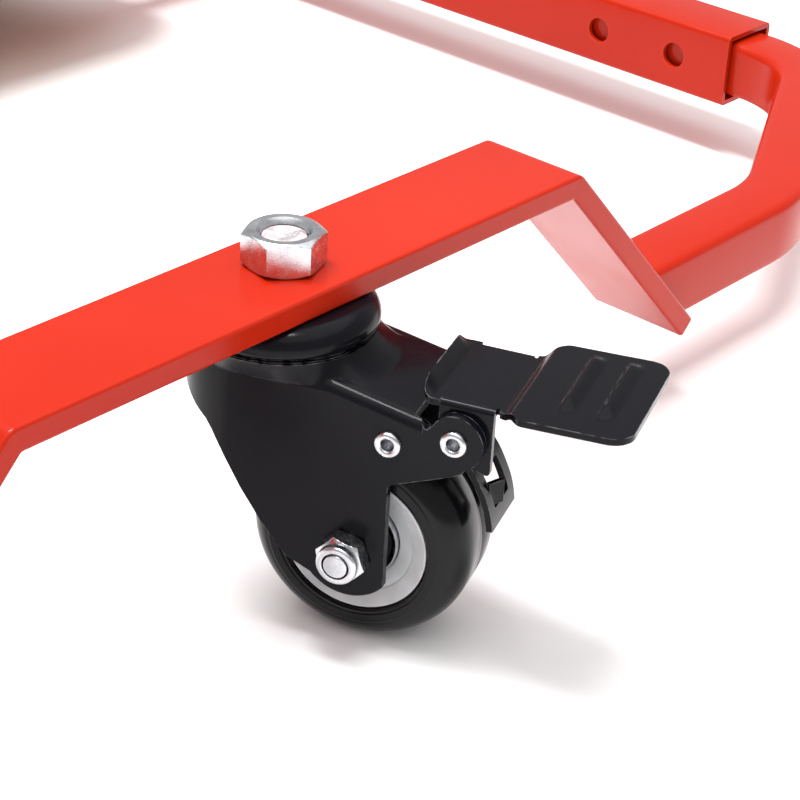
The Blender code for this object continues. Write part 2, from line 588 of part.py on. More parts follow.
def main():
    clear_scene()
    ends = {"foot": 0.0, "head": 180.0}
    for end, turn in ends.items():
        base = add_empty(f"{end}_end", (0, 0, 0), turn)
        station = add_empty(f"{end}_station", (0, -HALF_LENGTH, 0), 0, base)
        make_strap(end, station)
        make_caster(end, station, CASTER_ANGLE, braked=True)
        sides = ("right", "left") if end == "foot" else ("left", "right")
        for side, mirror in zip(sides, (1, -1)):
            make_corner_tube(end, side, station, mirror)
            make_side_rail(end, side, station, mirror)
    for side, turn in (("right", 0.0), ("left", 180.0)):
        base = add_empty(f"{side}_side", (0, 0, 0), turn)
        station = add_empty(f"{side}_station", (HALF_WIDTH, 0, 0), 90.0, base)
        make_strap(side, station)
        make_caster(side, station, SIDE_ANGLE - 90.0, braked=False)
    for name, y in CROSS_RAILS.items():
        make_cross_rail(name, y)
    make_deck()


main()
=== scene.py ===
"""Looks of the mechanics creeper: fine versions of the formed and turned parts, padded vinyl, welds,
procedural materials, studio light and the camera.  Lengths are millimetres until MM turns them to metres.
"""
import json
import math
import random

import bmesh
import bpy
from mathutils import Matrix, Vector, noise


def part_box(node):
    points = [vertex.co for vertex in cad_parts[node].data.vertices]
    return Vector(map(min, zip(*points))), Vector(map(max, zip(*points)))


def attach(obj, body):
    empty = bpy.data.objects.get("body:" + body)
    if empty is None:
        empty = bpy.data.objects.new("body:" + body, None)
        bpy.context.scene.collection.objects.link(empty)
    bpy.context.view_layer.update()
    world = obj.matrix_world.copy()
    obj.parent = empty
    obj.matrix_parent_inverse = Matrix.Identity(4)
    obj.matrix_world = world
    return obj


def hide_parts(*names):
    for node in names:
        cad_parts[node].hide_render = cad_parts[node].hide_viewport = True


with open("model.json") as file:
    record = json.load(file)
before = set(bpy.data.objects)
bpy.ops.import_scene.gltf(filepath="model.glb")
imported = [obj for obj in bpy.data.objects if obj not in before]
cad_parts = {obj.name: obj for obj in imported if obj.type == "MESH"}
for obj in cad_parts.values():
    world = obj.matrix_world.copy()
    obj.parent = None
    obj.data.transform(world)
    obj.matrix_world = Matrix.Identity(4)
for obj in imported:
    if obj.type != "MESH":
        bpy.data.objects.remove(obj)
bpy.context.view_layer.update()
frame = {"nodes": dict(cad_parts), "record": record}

MM = 0.001
SCENE = bpy.context.scene

# sizes shared with the CAD
HALF_LENGTH, HALF_WIDTH = 505.0, 294.4
STRAP_WIDTH, STRAP_THICK, STRAP_TOP = 29.0, 5.8, 82.0
STRAP_BEND, LEG_SLOPE, LEG_FOOT = 84.8, 0.968, 19.9
TUBE, SLEEVE, RAIL_HEIGHT, SLEEVE_START = 18.3, 24.0, 30.7, 72.8
TUBE_WALL, SLEEVE_WALL = 1.6, 1.8
HOLE_PLACES, HOLE_RADIUS = (93.9, 125.2), 4.1
CORNER_START, CORNER_RISE, INSERTION = 200.0, 47.9, 90.0
SOFT_BEND, TIGHT_BEND = 50.0, 36.0
TRAIL, WHEEL_RADIUS, WHEEL_HALF = 23.0, 25.4, 13.1
SHOULDER, HUB_RADIUS = 8.0, 16.6
BEARING_RADIUS, FORK_HALF, SHEET, CROWN_TOP = 9.5, 16.0, 2.0, 65.6
CROWN_LEVEL, CROWN_FALL, CROWN_ROLL = 18.0, 0.21, 2.9
SKIRT_CENTRE, EAR_RADIUS = -5.0, 6.3
CAP_RADIUS, CAP_WAIST, SEAT_RADIUS, SEAT_TOP = 21.2, 71.3, 20.6, 68.9
PEDAL_BACK, PEDAL_TIP, PEDAL_LEVEL, PEDAL_SHEET = 36.8, 81.9, 66.4, 1.5
PEDAL_HALF, PEDAL_CORNER, BACK_CORNER = 17.5, 4.8, 2.8
FLANGE_OUT, FLANGE_BACK, FLANGE_FRONT = 13.7, 41.0, 52.8
BRAKE_PIVOT, TONGUE_PIVOT = (45.4, 58.2), (31.2, 54.5)
PIN_RADIUS, RIVET_HEAD, STEM_RADIUS, AXLE_RADIUS = 2.6, 3.0, 5.0, 3.0
NUT_ACROSS, NUT_HEIGHT, NUT_TURN, AXLE_NUT_ACROSS = 16.0, 8.0, -8.75, 10.0
GAP = 0.3
SEATED = 0.05                     # a head or nut stands this far off the sheet under it

# details that the CAD leaves out
BOLT_PLACES = (("left", -150.0), ("centre", 0.0), ("right", 150.0))
CHAMFER_SLOPE = 0.58              # rise of a nut's cut corners over their run
FLANGE_RADIUS, FLANGE_BORE, FLANGE_LOW = 9.0, 6.0, 60.5
TONGUE_HALF, WINDOW_HALF = 7.5, 4.4
PAD_INSET, PAD_RADIUS, PAD_SWELL, PAD_CROWN = 5.0, 26, 8.0, 3.0
CHANNEL_DEPTH, CHANNEL_WIDTH = 5.0, 4.5
PIPING_RADIUS, PIPING_DROP = 2.2, 10.0
CLOTH_PRESSURE, CLOTH_VOXEL, CLOTH_FRAMES = 4.0, 6.0, 20

STATIONS = {  # kingpin place, turn of the strap, trail angle of the caster, braked
    "foot": ((0.0, -HALF_LENGTH), 0.0, -69.1, True),
    "head": ((0.0, HALF_LENGTH), 180.0, 110.9, True),
    "right": ((HALF_WIDTH, 0.0), 90.0, 104.0, False),
    "left": ((-HALF_WIDTH, 0.0), 270.0, 284.0, False),
}


# ---------------------------------------------------------------- mesh tools
def arc(cx, cy, radius, start, end, steps):
    """Points on an arc, angles in degrees, both ends included."""
    turns = [math.radians(start + (end - start) * i / steps) for i in range(steps + 1)]
    return [(cx + radius * math.cos(t), cy + radius * math.sin(t)) for t in turns]


def rounded_rect(half_x, half_y, radius, steps=5):
    corners = ((1, 1, 0), (-1, 1, 90), (-1, -1, 180), (1, -1, 270))
    points = []
    for sx, sy, start in corners:
        points += arc(sx * (half_x - radius), sy * (half_y - radius), radius, start, start + 90, steps)
    return points


def spaced(ring, step):
    """A closed ring of points, with extra points so that none are much more than a step apart."""
    dense = []
    for (a, b), (c, d) in zip(ring, ring[1:] + ring[:1]):
        parts = max(1, round(math.hypot(c - a, d - b) / step))
        dense += [(a + (c - a) * i / parts, b + (d - b) * i / parts) for i in range(parts)]
    return dense


def skin(rings, closed_ring=False):
    """Join rings of equal length into one body; the ends are capped, or meet in a loop."""
    bm = bmesh.new()
    rows = [[bm.verts.new(p) for p in ring] for ring in rings]
    count = len(rows[0])
    pairs = list(zip(rows, rows[1:] + rows[:1])) if closed_ring else list(zip(rows, rows[1:]))
    for a, b in pairs:
        for i in range(count):
            j = (i + 1) % count
            bm.faces.new((a[i], a[j], b[j], b[i]))
    if not closed_ring:
        bm.faces.new(rows[0])
        bm.faces.new(rows[-1])
    return bm


def prism_xz(outline, y0, y1):
    return skin([[(x, y, z) for x, z in outline] for y in (y0, y1)])


def prism_xy(outline, z0, z1):
    return skin([[(x, y, z) for x, y in outline] for z in (z0, z1)])


def turned(profile, steps, axis="Z"):
    """Revolve a closed (radius, height) profile; a radius of zero is a point on the axis."""
    bm = bmesh.new()
    rings = []
    for radius, height in profile:
        if radius == 0:
            rings.append([bm.verts.new((0, 0, height))])
        else:
            rings.append([bm.verts.new((x, y, height)) for x, y in arc(0, 0, radius, 0, 360, steps)[:-1]])
    for a, b in zip(rings, rings[1:] + rings[:1]):
        for i in range(steps):
            j = (i + 1) % steps
            if len(a) == 1 and len(b) == 1:
                break
            if len(a) == 1:
                bm.faces.new((a[0], b[j], b[i]))
            elif len(b) == 1:
                bm.faces.new((a[i], a[j], b[0]))
            else:
                bm.faces.new((a[i], a[j], b[j], b[i]))
    if axis == "Y":
        bm.transform(Matrix.Rotation(math.radians(90), 4, "X"))
    return bm


def add_piece(name, bm, material, place=None, body=None, stands_for=(), sharp=30.0):
    """A finished piece: placed, smooth shaded, riding on a body and standing for its CAD nodes."""
    bm.transform(place or Matrix.Identity(4))
    bmesh.ops.scale(bm, vec=(MM, MM, MM), verts=bm.verts)
    bmesh.ops.recalc_face_normals(bm, faces=bm.faces)
    mesh = bpy.data.meshes.new(name)
    bm.to_mesh(mesh)
    bm.free()
    mesh.materials.append(material)
    mesh.shade_smooth()
    mesh.set_sharp_from_angle(angle=math.radians(sharp))
    made = bpy.data.objects.new(name, mesh)
    SCENE.collection.objects.link(made)
    if body:
        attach(made, body)
    if stands_for:
        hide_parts(*stands_for)
    return made


def cut(target, bm, place=None, operation="DIFFERENCE"):
    """Boolean the target with a hidden tool, and bake the result into its mesh."""
    tool = add_piece(f"tool_{target.name}", bm, target.data.materials[0], place)
    modifier = target.modifiers.new("cut", "BOOLEAN")
    modifier.operation, modifier.object = operation, tool
    bake_modifiers(target)
    bpy.data.objects.remove(tool, do_unlink=True)


def bake_modifiers(target):
    """Replace the object's mesh by its evaluated mesh."""
    evaluated = target.evaluated_get(bpy.context.evaluated_depsgraph_get())
    mesh = bpy.data.meshes.new_from_object(evaluated)
    target.modifiers.clear()
    target.data = mesh


def soften(target, width, segments=2, angle=40.0):
    """Small rounded edges, baked, with smooth shading kept flat on the broad faces."""
    edge = target.modifiers.new("edge", "BEVEL")
    edge.width, edge.segments, edge.angle_limit = width * MM, segments, math.radians(angle)
    edge.use_clamp_overlap = True
    edge.harden_normals = True
    bake_modifiers(target)


def station_place(side):
    (x, y), turn, _, _ = STATIONS[side]
    return Matrix.Translation((x, y, 0)) @ Matrix.Rotation(math.radians(turn), 4, "Z")


def caster_place(side, x=0.0, z=0.0):
    (px, py), _, angle, _ = STATIONS[side]
    place = Matrix.Translation((px, py, 0)) @ Matrix.Rotation(math.radians(angle), 4, "Z")
    return place @ Matrix.Translation((x, 0, z))


# ---------------------------------------------------------------- materials
class Look:
    """A Principled material with a few node helpers; one instance per material."""

    def __init__(self, name, colour, roughness, metallic=0.0, **sockets):
        self.material = bpy.data.materials.new(name)
        self.material.use_nodes = True
        self.tree = self.material.node_tree
        self.shader = self.tree.nodes["Principled BSDF"]
        self.shader.inputs["Base Color"].default_value = (*colour, 1.0)
        self.shader.inputs["Roughness"].default_value = roughness
        self.shader.inputs["Metallic"].default_value = metallic
        for socket, value in sockets.items():
            self.shader.inputs[socket.replace("_", " ")].default_value = value
        self.coords = self.tree.nodes.new("ShaderNodeTexCoord").outputs["Object"]

    def node(self, kind, **values):
        made = self.tree.nodes.new(kind)
        for key, value in values.items():
            made.inputs[key.replace("_", " ")].default_value = value
        return made

    def noise(self, scale, detail=4.0, stretch=None):
        """Noise in metres: scale is in features per metre."""
        made = self.node("ShaderNodeTexNoise", Scale=scale, Detail=detail)
        source = self.coords
        if stretch:
            mapping = self.node("ShaderNodeMapping", Scale=stretch)
            self.tree.links.new(source, mapping.inputs["Vector"])
            source = mapping.outputs["Vector"]
        self.tree.links.new(source, made.inputs["Vector"])
        return made.outputs["Fac"]

    def band(self, value, low, high, to_low, to_high):
        """Map a value from one band to another, clamped."""
        made = self.node("ShaderNodeMapRange", From_Min=low, From_Max=high, To_Min=to_low, To_Max=to_high)
        self.tree.links.new(value, made.inputs["Value"])
        return made.outputs["Result"]

    def mix(self, factor, first, second):
        made = self.tree.nodes.new("ShaderNodeMix")
        made.data_type = "RGBA"
        for index, item in ((0, factor), (6, first), (7, second)):
            if isinstance(item, bpy.types.NodeSocket):
                self.tree.links.new(item, made.inputs[index])
            else:
                made.inputs[index].default_value = item
        return made.outputs[2]

    def colour(self, output):
        self.tree.links.new(output, self.shader.inputs["Base Color"])

    def rough(self, output):
        self.tree.links.new(output, self.shader.inputs["Roughness"])

    def bump(self, height, strength, distance):
        made = self.node("ShaderNodeBump", Strength=strength, Distance=distance)
        self.tree.links.new(height, made.inputs["Height"])
        self.tree.links.new(made.outputs["Normal"], self.shader.inputs["Normal"])

    def edge_mask(self, radius, low=0.02, high=0.12):
        """One along sharp edges, where the rounded normal leaves the true one: used for worn edges and for
        painted edge highlights.
        """
        rounded = self.node("ShaderNodeBevel", Radius=radius)
        rounded.samples = 4
        plain = self.tree.nodes.new("ShaderNodeNewGeometry")
        dot = self.tree.nodes.new("ShaderNodeVectorMath")
        dot.operation = "DOT_PRODUCT"
        self.tree.links.new(rounded.outputs["Normal"], dot.inputs[0])
        self.tree.links.new(plain.outputs["Normal"], dot.inputs[1])
        return self.band(dot.outputs["Value"], 1 - low, 1 - high, 0.0, 1.0)


def red_powder_coat():
    """Glossy orange-red powder: faint orange peel, slow tone drift, and a painted highlight of brighter red
    along thin edges.
    """
    look = Look("red_powder_coat", (0.43, 0.016, 0.003), 0.15, Specular_IOR_Level=0.17)
    drift = look.band(look.noise(9.0, 3.0), 0.35, 0.65, 0.0, 1.0)
    tone = look.mix(drift, (0.41, 0.013, 0.002, 1), (0.46, 0.018, 0.004, 1))
    # painted highlight: the edges are mixed to a brighter red
    edge_highlight = look.mix(look.edge_mask(0.0007), tone, (0.56, 0.05, 0.02, 1))
    look.colour(edge_highlight)
    look.rough(look.band(look.noise(60.0, 5.0), 0.3, 0.7, 0.16, 0.27))
    look.bump(look.noise(900.0, 2.0), 0.06, 0.0004)
    return look.material


def black_paint():
    """Satin black on stamped steel: fine grain, dusty specks, and bright grey edges that are partly worn bare
    metal and partly a painted highlight.
    """
    look = Look("black_paint", (0.004, 0.004, 0.006), 0.2, Specular_IOR_Level=0.13)
    dust = look.band(look.noise(2600.0, 2.0), 0.70, 0.76, 0.0, 0.35)
    dusty = look.mix(dust, (0.004, 0.004, 0.006, 1), (0.04, 0.04, 0.045, 1))
    broken = look.band(look.noise(420.0, 4.0), 0.42, 0.62, 0.0, 1.0)
    # worn edges broken by noise and lightened to grey: partly bare metal, partly a painted edge highlight
    edge = look.node("ShaderNodeMath")
    edge.operation = "MULTIPLY"
    look.tree.links.new(look.edge_mask(0.0004, 0.05, 0.22), edge.inputs[0])
    look.tree.links.new(broken, edge.inputs[1])
    look.colour(look.mix(edge.outputs["Value"], dusty, (0.20, 0.20, 0.21, 1)))
    look.rough(look.band(look.noise(130.0, 4.0), 0.3, 0.7, 0.15, 0.25))
    look.bump(look.noise(1500.0, 3.0), 0.06, 0.0002)
    return look.material


def zinc(name="zinc", tint=(0.66, 0.67, 0.69), roughness=(0.16, 0.32)):
    """Bright zinc plate with cloudy stains and fine tool lines."""
    look = Look(name, tint, 0.24, 1.0)
    cloud = look.band(look.noise(260.0, 5.0), 0.35, 0.7, 0.0, 1.0)
    dark = (tint[0] * 0.72, tint[1] * 0.72, tint[2] * 0.74, 1)
    look.colour(look.mix(cloud, (*tint, 1), dark))
    look.rough(look.band(look.noise(500.0, 4.0), 0.3, 0.7, *roughness))
    look.bump(look.noise(1400.0, 3.0, stretch=(1, 1, 6)), 0.12, 0.0002)
    return look.material


def stem_end():
    """Sheared bolt end: rough bare metal with traces of pink primer."""
    look = Look("stem_end", (0.55, 0.45, 0.46), 0.55, 0.6)
    patch = look.band(look.noise(420.0, 6.0), 0.42, 0.6, 0.0, 1.0)
    look.colour(look.mix(patch, (0.36, 0.33, 0.34, 1), (0.78, 0.60, 0.62, 1)))
    look.bump(look.noise(900.0, 6.0), 0.8, 0.0008)
    return look.material


def polyurethane():
    """Glossy moulded polyurethane with faint flow marks and light dust."""
    look = Look("polyurethane", (0.004, 0.004, 0.005), 0.14, Specular_IOR_Level=0.18)
    dust = look.band(look.noise(1800.0, 2.0), 0.70, 0.78, 0.0, 0.3)
    look.colour(look.mix(dust, (0.005, 0.005, 0.006, 1), (0.07, 0.07, 0.07, 1)))
    look.rough(look.band(look.noise(90.0, 5.0), 0.3, 0.7, 0.10, 0.24))
    look.bump(look.noise(350.0, 2.0), 0.05, 0.0004)
    return look.material


def hub_plastic():
    """Light grey moulded plastic with cloudy tone and a satin face."""
    look = Look("hub_plastic", (0.52, 0.52, 0.53), 0.34, Subsurface_Weight=0.05)
    cloud = look.band(look.noise(140.0, 5.0), 0.35, 0.65, 0.0, 1.0)
    look.colour(look.mix(cloud, (0.46, 0.46, 0.47, 1), (0.60, 0.60, 0.61, 1)))
    look.rough(look.band(look.noise(300.0, 3.0), 0.3, 0.7, 0.28, 0.42))
    look.bump(look.noise(1200.0, 2.0), 0.05, 0.0002)
    return look.material


def seal_rubber():
    look = Look("seal_rubber", (0.02, 0.02, 0.022), 0.42)
    look.rough(look.band(look.noise(700.0, 3.0), 0.3, 0.7, 0.34, 0.5))
    look.bump(look.noise(2200.0, 2.0), 0.1, 0.0001)
    return look.material


def vinyl(name="vinyl", colour=(0.010, 0.010, 0.012)):
    """Black upholstery vinyl: pebble grain, softer sheen on worn high spots."""
    look = Look(name, colour, 0.42, Specular_IOR_Level=0.3)
    cells = look.node("ShaderNodeTexVoronoi", Scale=620.0)
    look.tree.links.new(look.coords, cells.inputs["Vector"])
    cells.feature = "SMOOTH_F1"
    wear = look.band(look.noise(14.0, 5.0), 0.4, 0.68, 0.0, 1.0)
    light = tuple(c * 1.9 for c in colour)
    look.colour(look.mix(wear, (*colour, 1), (*light, 1)))
    look.rough(look.band(look.noise(24.0, 4.0), 0.3, 0.7, 0.34, 0.5))
    look.bump(cells.outputs["Distance"], 0.35, 0.0006)
    return look.material


def plywood():
    """Plywood face: long grain, darker growth bands, dry matt surface."""
    look = Look("plywood", (0.40, 0.26, 0.14), 0.62)
    grain = look.noise(60.0, 8.0, stretch=(1.0, 0.06, 1.0))
    fine = look.noise(700.0, 4.0, stretch=(1.0, 0.05, 1.0))
    bands = look.band(grain, 0.35, 0.65, 0.0, 1.0)
    tone = look.mix(bands, (0.33, 0.20, 0.10, 1), (0.50, 0.34, 0.19, 1))
    look.colour(look.mix(look.band(fine, 0.55, 0.7, 0.0, 0.5), tone, (0.20, 0.12, 0.06, 1)))
    look.bump(fine, 0.25, 0.0004)
    return look.material


def weld_metal():
    """Weld bead under powder coat: the same red, with a lumpy shine."""
    look = Look("weld_coat", (0.40, 0.016, 0.003), 0.24, Specular_IOR_Level=0.25)
    look.colour(look.mix(look.band(look.noise(400.0, 4.0), 0.4, 0.65, 0.0, 1.0),
                         (0.36, 0.011, 0.002, 1), (0.48, 0.024, 0.006, 1)))
    look.bump(look.noise(700.0, 4.0), 0.5, 0.0006)
    return look.material


MATERIALS = {
    "red_powder_coat": red_powder_coat(),
    "black_paint": black_paint(),
    "zinc": zinc(),
    "polyurethane": polyurethane(),
    "hub_plastic": hub_plastic(),
    "vinyl": vinyl(),
    "bearing_steel": zinc("bearing_steel", (0.60, 0.60, 0.62), (0.08, 0.18)),
    "plywood": plywood(),
    "stem_end": stem_end(),
    "seal": seal_rubber(),
    "weld": weld_metal(),
}


def paint_cad_nodes():
    """Give every carried-over CAD node the finish of its record slot."""
    for part in frame["record"]["subparts"]:
        node = frame["nodes"][part["node"]]
        node.data.materials.clear()
        node.data.materials.append(MATERIALS[part["material_slot"]])


# ---------------------------------------------------------------- camera, light, floor
CAMERA_PLACE = (-0.2928, -0.7865, 0.2830)
CAMERA_AZIMUTH, CAMERA_ELEVATION, CAMERA_ROLL = -49.81, 29.83, 3.29
CAMERA_LENS = 96.6


def make_camera():
    """A long lens close to the foot caster, turned as the view needs."""
    azimuth, elevation, roll = (math.radians(a) for a in (CAMERA_AZIMUTH, CAMERA_ELEVATION, CAMERA_ROLL))
    back = Vector((math.sin(azimuth) * math.cos(elevation), -math.cos(azimuth) * math.cos(elevation),
                   math.sin(elevation)))
    right = Vector((0, 0, 1)).cross(back).normalized()
    up = back.cross(right)
    tilted_right = right * math.cos(roll) + up * math.sin(roll)
    tilted_up = up * math.cos(roll) - right * math.sin(roll)
    camera = bpy.data.objects.new("camera", bpy.data.cameras.new("camera"))
    SCENE.collection.objects.link(camera)
    basis = Matrix((tilted_right, tilted_up, back)).transposed().to_4x4()
    camera.matrix_world = Matrix.Translation(CAMERA_PLACE) @ basis
    camera.data.lens, camera.data.sensor_width = CAMERA_LENS, 36.0
    camera.data.clip_start = 0.01
    SCENE.camera = camera


FLOOR_HALF = 40000.0
SKY_LOW, SKY_HIGH = 0.55, 1.6     # light from the walls, and from the soft ceiling overhead
SOFTBOX_PLACE, SOFTBOX_AIM = (-0.09, -0.28, 1.40), (-0.09, -0.42, 0.07)
CEILING_EDGE = (0.62, 0.78)       # sine of the elevation where one turns into the other


def make_studio():
    """A white floor under a soft white ceiling light, with dimmer walls behind a white backdrop."""
    world = bpy.data.worlds.new("studio")
    world.use_nodes = True
    tree = world.node_tree
    background = tree.nodes["Background"]
    background.inputs["Color"].default_value = (1.0, 1.0, 1.0, 1)
    split = tree.nodes.new("ShaderNodeSeparateXYZ")
    tree.links.new(tree.nodes.new("ShaderNodeTexCoord").outputs["Generated"], split.inputs["Vector"])
    sky = tree.nodes.new("ShaderNodeMapRange")
    sky.interpolation_type = "SMOOTHSTEP"
    limits = (*CEILING_EDGE, SKY_LOW, SKY_HIGH)
    for socket, value in zip(("From Min", "From Max", "To Min", "To Max"), limits):
        sky.inputs[socket].default_value = value
    tree.links.new(split.outputs["Z"], sky.inputs["Value"])
    backdrop = tree.nodes.new("ShaderNodeMix")
    backdrop.inputs["B"].default_value = 1.0
    path = tree.nodes.new("ShaderNodeLightPath")
    tree.links.new(path.outputs["Is Camera Ray"], backdrop.inputs["Factor"])
    tree.links.new(sky.outputs["Result"], backdrop.inputs["A"])
    tree.links.new(backdrop.outputs["Result"], background.inputs["Strength"])
    SCENE.world = world
    bm = bmesh.new()
    bmesh.ops.create_grid(bm, x_segments=1, y_segments=1, size=FLOOR_HALF)
    look = Look("studio_floor", (0.97, 0.97, 0.97), 0.9, Specular_IOR_Level=0.1)
    look.bump(look.noise(40.0, 2.0), 0.01, 0.001)
    add_piece("studio_floor", bm, look.material)
    data = bpy.data.lights.new("softbox", "AREA")
    data.shape, data.size, data.size_y, data.energy = "RECTANGLE", 0.22, 1.0, 24.0
    softbox = bpy.data.objects.new("softbox", data)
    SCENE.collection.objects.link(softbox)
    softbox.location = SOFTBOX_PLACE
    aim = Vector(SOFTBOX_AIM) - Vector(SOFTBOX_PLACE)
    softbox.rotation_euler = aim.to_track_quat("-Z", "Y").to_euler()
    SCENE.view_settings.view_transform = "Standard"


# ---------------------------------------------------------------- frame pieces
def leg_face(height):
    return STRAP_BEND + LEG_SLOPE * (STRAP_TOP - height)


def strap_outline():
    """Side view of a raised strap, symmetric about the kingpin."""
    under = STRAP_TOP - STRAP_THICK
    inner_bend = STRAP_BEND - STRAP_THICK * math.hypot(1, LEG_SLOPE) + LEG_SLOPE * STRAP_THICK
    inner_foot = inner_bend + LEG_SLOPE * (under - LEG_FOOT)
    normal = Vector((1, LEG_SLOPE)).normalized() * STRAP_THICK
    lean = math.degrees(math.atan(1 / LEG_SLOPE))
    outer_round, inner_round = 4.5, 1.2
    half = arc(STRAP_BEND - outer_round * math.tan(math.radians(lean / 2)), STRAP_TOP - outer_round,
               outer_round, 90, 90 - lean, 8)
    half += [(inner_foot + normal.x, LEG_FOOT + normal.y), (inner_foot, LEG_FOOT)]
    half += arc(inner_bend - inner_round * math.tan(math.radians(lean / 2)), under - inner_round,
                inner_round, 90 - lean, 90, 4)
    return half + [(-x, z) for x, z in reversed(half)]


def make_strap(side):
    """The flat bar with soft rolled edges and its kingpin hole."""
    place = station_place(side)
    strap = add_piece(f"strap_{side}_bar", prism_xz(strap_outline(), -STRAP_WIDTH / 2, STRAP_WIDTH / 2),
                      MATERIALS["red_powder_coat"], place, "root", [f"caster_strap_{side}"])
    hole = turned([(0, STRAP_TOP + 5), (STEM_RADIUS + GAP, STRAP_TOP + 5),
                   (STEM_RADIUS + GAP, STRAP_TOP - 15), (0, STRAP_TOP - 15)], 48)
    cut(strap, hole, place)
    soften(strap, 0.9, 4, 60.0)


def filleted(points, radii, steps=14):
    """A plan path with each inner point replaced by an arc of the given radius."""
    path = [Vector(points[0])]
    for before, here, after, radius in zip(points, points[1:], points[2:], radii):
        here = Vector(here)
        back, ahead = (Vector(before) - here).normalized(), (Vector(after) - here).normalized()
        half = back.angle(ahead) / 2
        centre = here + (back + ahead).normalized() * (radius / math.sin(half))
        start = here + back * (radius / math.tan(half)) - centre
        sweep = (math.pi - 2 * half) * (1 if back.x * ahead.y - back.y * ahead.x < 0 else -1)
        path += [centre + Matrix.Rotation(sweep * i / steps, 2) @ start for i in range(steps + 1)]
    return path + [Vector(points[-1])]


def tube_along(path, size, wall, radius, slants=(0.0, 0.0)):
    """A hollow square tube along a plan path at rail height; slants shear the two end cuts."""
    sections = (rounded_rect(size / 2, size / 2, radius),
                rounded_rect(size / 2 - wall, size / 2 - wall, max(radius - wall, 0.4)))
    loops = []
    for section in sections:
        made = []
        for i, point in enumerate(path):
            ahead = (path[min(i + 1, len(path) - 1)] - point).normalized()
            back = (point - path[max(i - 1, 0)]).normalized()
            along = (ahead + back).normalized()
            side = Vector((along.y, -along.x))
            slant = slants[0] if i == 0 else slants[1] if i == len(path) - 1 else 0.0
            made.append([(*(point + side * across + along * up * slant), RAIL_HEIGHT + up)
                         for across, up in section])
        loops.append(made)
    return skin(loops[0] + loops[1][::-1], closed_ring=True)


def weld_bead(name, place, size, slant, seed):
    """A lumpy fillet round a square tube's end, where it meets a plate in the local Y-Z plane."""
    random.seed(seed)
    rings = []
    for i, (y, z) in enumerate(spaced(rounded_rect(size / 2 + 0.5, size / 2 + 0.5, 3.0, 7), 0.9)):
        outward = Vector((0, y, z)).normalized()
        lump = 1.15 + 0.3 * math.sin(i * 2.1) + random.uniform(-0.15, 0.15)
        centre = Vector((-z * slant, y, z)) + Vector((-0.1, 0, 0))
        rings.append([centre + outward * (math.cos(t) * lump) + Vector((math.sin(t) * lump, 0, 0))
                      for t in (2 * math.pi * k / 8 for k in range(8))])
    add_piece(name, skin(rings, closed_ring=True), MATERIALS["weld"], place, "root",
              sharp=80.0)


def make_corner(end, side):
    """One corner: the bent tube, the sleeve with its two holes, and the welds at both straps."""
    place = station_place(end)
    mirror = 1 if (side == "right") == (end == "foot") else -1
    red = MATERIALS["red_powder_coat"]
    slack = GAP * math.hypot(1, LEG_SLOPE)
    start = leg_face(RAIL_HEIGHT) + slack
    path = filleted([(start, 0), (CORNER_START, 0), (HALF_WIDTH, CORNER_RISE),
                     (HALF_WIDTH, SLEEVE_START + INSERTION)], (SOFT_BEND, TIGHT_BEND))
    path = [Vector((p.x * mirror, p.y)) for p in path]
    bent = tube_along(path, TUBE, TUBE_WALL, 2.6, (-LEG_SLOPE, 0.0))
    add_piece(f"bent_tube_{end}_{side}", bent, red, place, "root", [f"corner_tube_{end}_{side}"],
              sharp=50.0)
    stop = HALF_LENGTH - leg_face(RAIL_HEIGHT) - slack
    rail_path = [Vector((HALF_WIDTH * mirror, y)) for y in (SLEEVE_START, stop)]
    straight = tube_along(rail_path, SLEEVE, SLEEVE_WALL, 1.8, (0.0, LEG_SLOPE))
    rail = add_piece(f"sleeve_{end}_{side}", straight, red, place, "root", [f"side_rail_{end}_{side}"],
                     sharp=50.0)
    for y in HOLE_PLACES:
        drill = turned([(0, -8), (HOLE_RADIUS, -8), (HOLE_RADIUS, 8), (0, 8)], 48, "Y")
        at = Matrix.Translation((mirror * (HALF_WIDTH - SLEEVE / 2), y, RAIL_HEIGHT))
        cut(rail, drill, place @ at @ Matrix.Rotation(math.radians(90), 4, "Z"))
    soften(rail, 0.25, 2, 60.0)
    seed = hash_of(end + side)
    turn = Matrix.Rotation(0.0 if mirror > 0 else math.pi, 4, "Z")
    at = Matrix.Translation((mirror * leg_face(RAIL_HEIGHT), 0, RAIL_HEIGHT))
    weld_bead(f"weld_corner_{end}_{side}", place @ at @ turn, TUBE, LEG_SLOPE, seed)
    at = Matrix.Translation((HALF_WIDTH * mirror, stop + slack, RAIL_HEIGHT))
    weld_bead(f"weld_side_{end}_{side}", place @ at @ Matrix.Rotation(-math.pi / 2, 4, "Z"), SLEEVE,
              LEG_SLOPE, seed + 1)


def hash_of(text):
    """A small fixed number from a name, the same in each run."""
    return sum((i + 1) * ord(c) for i, c in enumerate(text))


def make_cross_rail_welds():
    for name in ("foot", "middle", "head"):
        low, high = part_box(f"cross_rail_{name}")
        y = (low[1] + high[1]) / 2 / MM
        for sign, label in ((1, "right"), (-1, "left")):
            at = Matrix.Translation((sign * high[0] / MM, y, RAIL_HEIGHT))
            turn = Matrix.Rotation(math.pi if sign > 0 else 0.0, 4, "Z")
            weld_bead(f"weld_cross_{name}_{label}", at @ turn, TUBE, 0.0, hash_of(name + label))


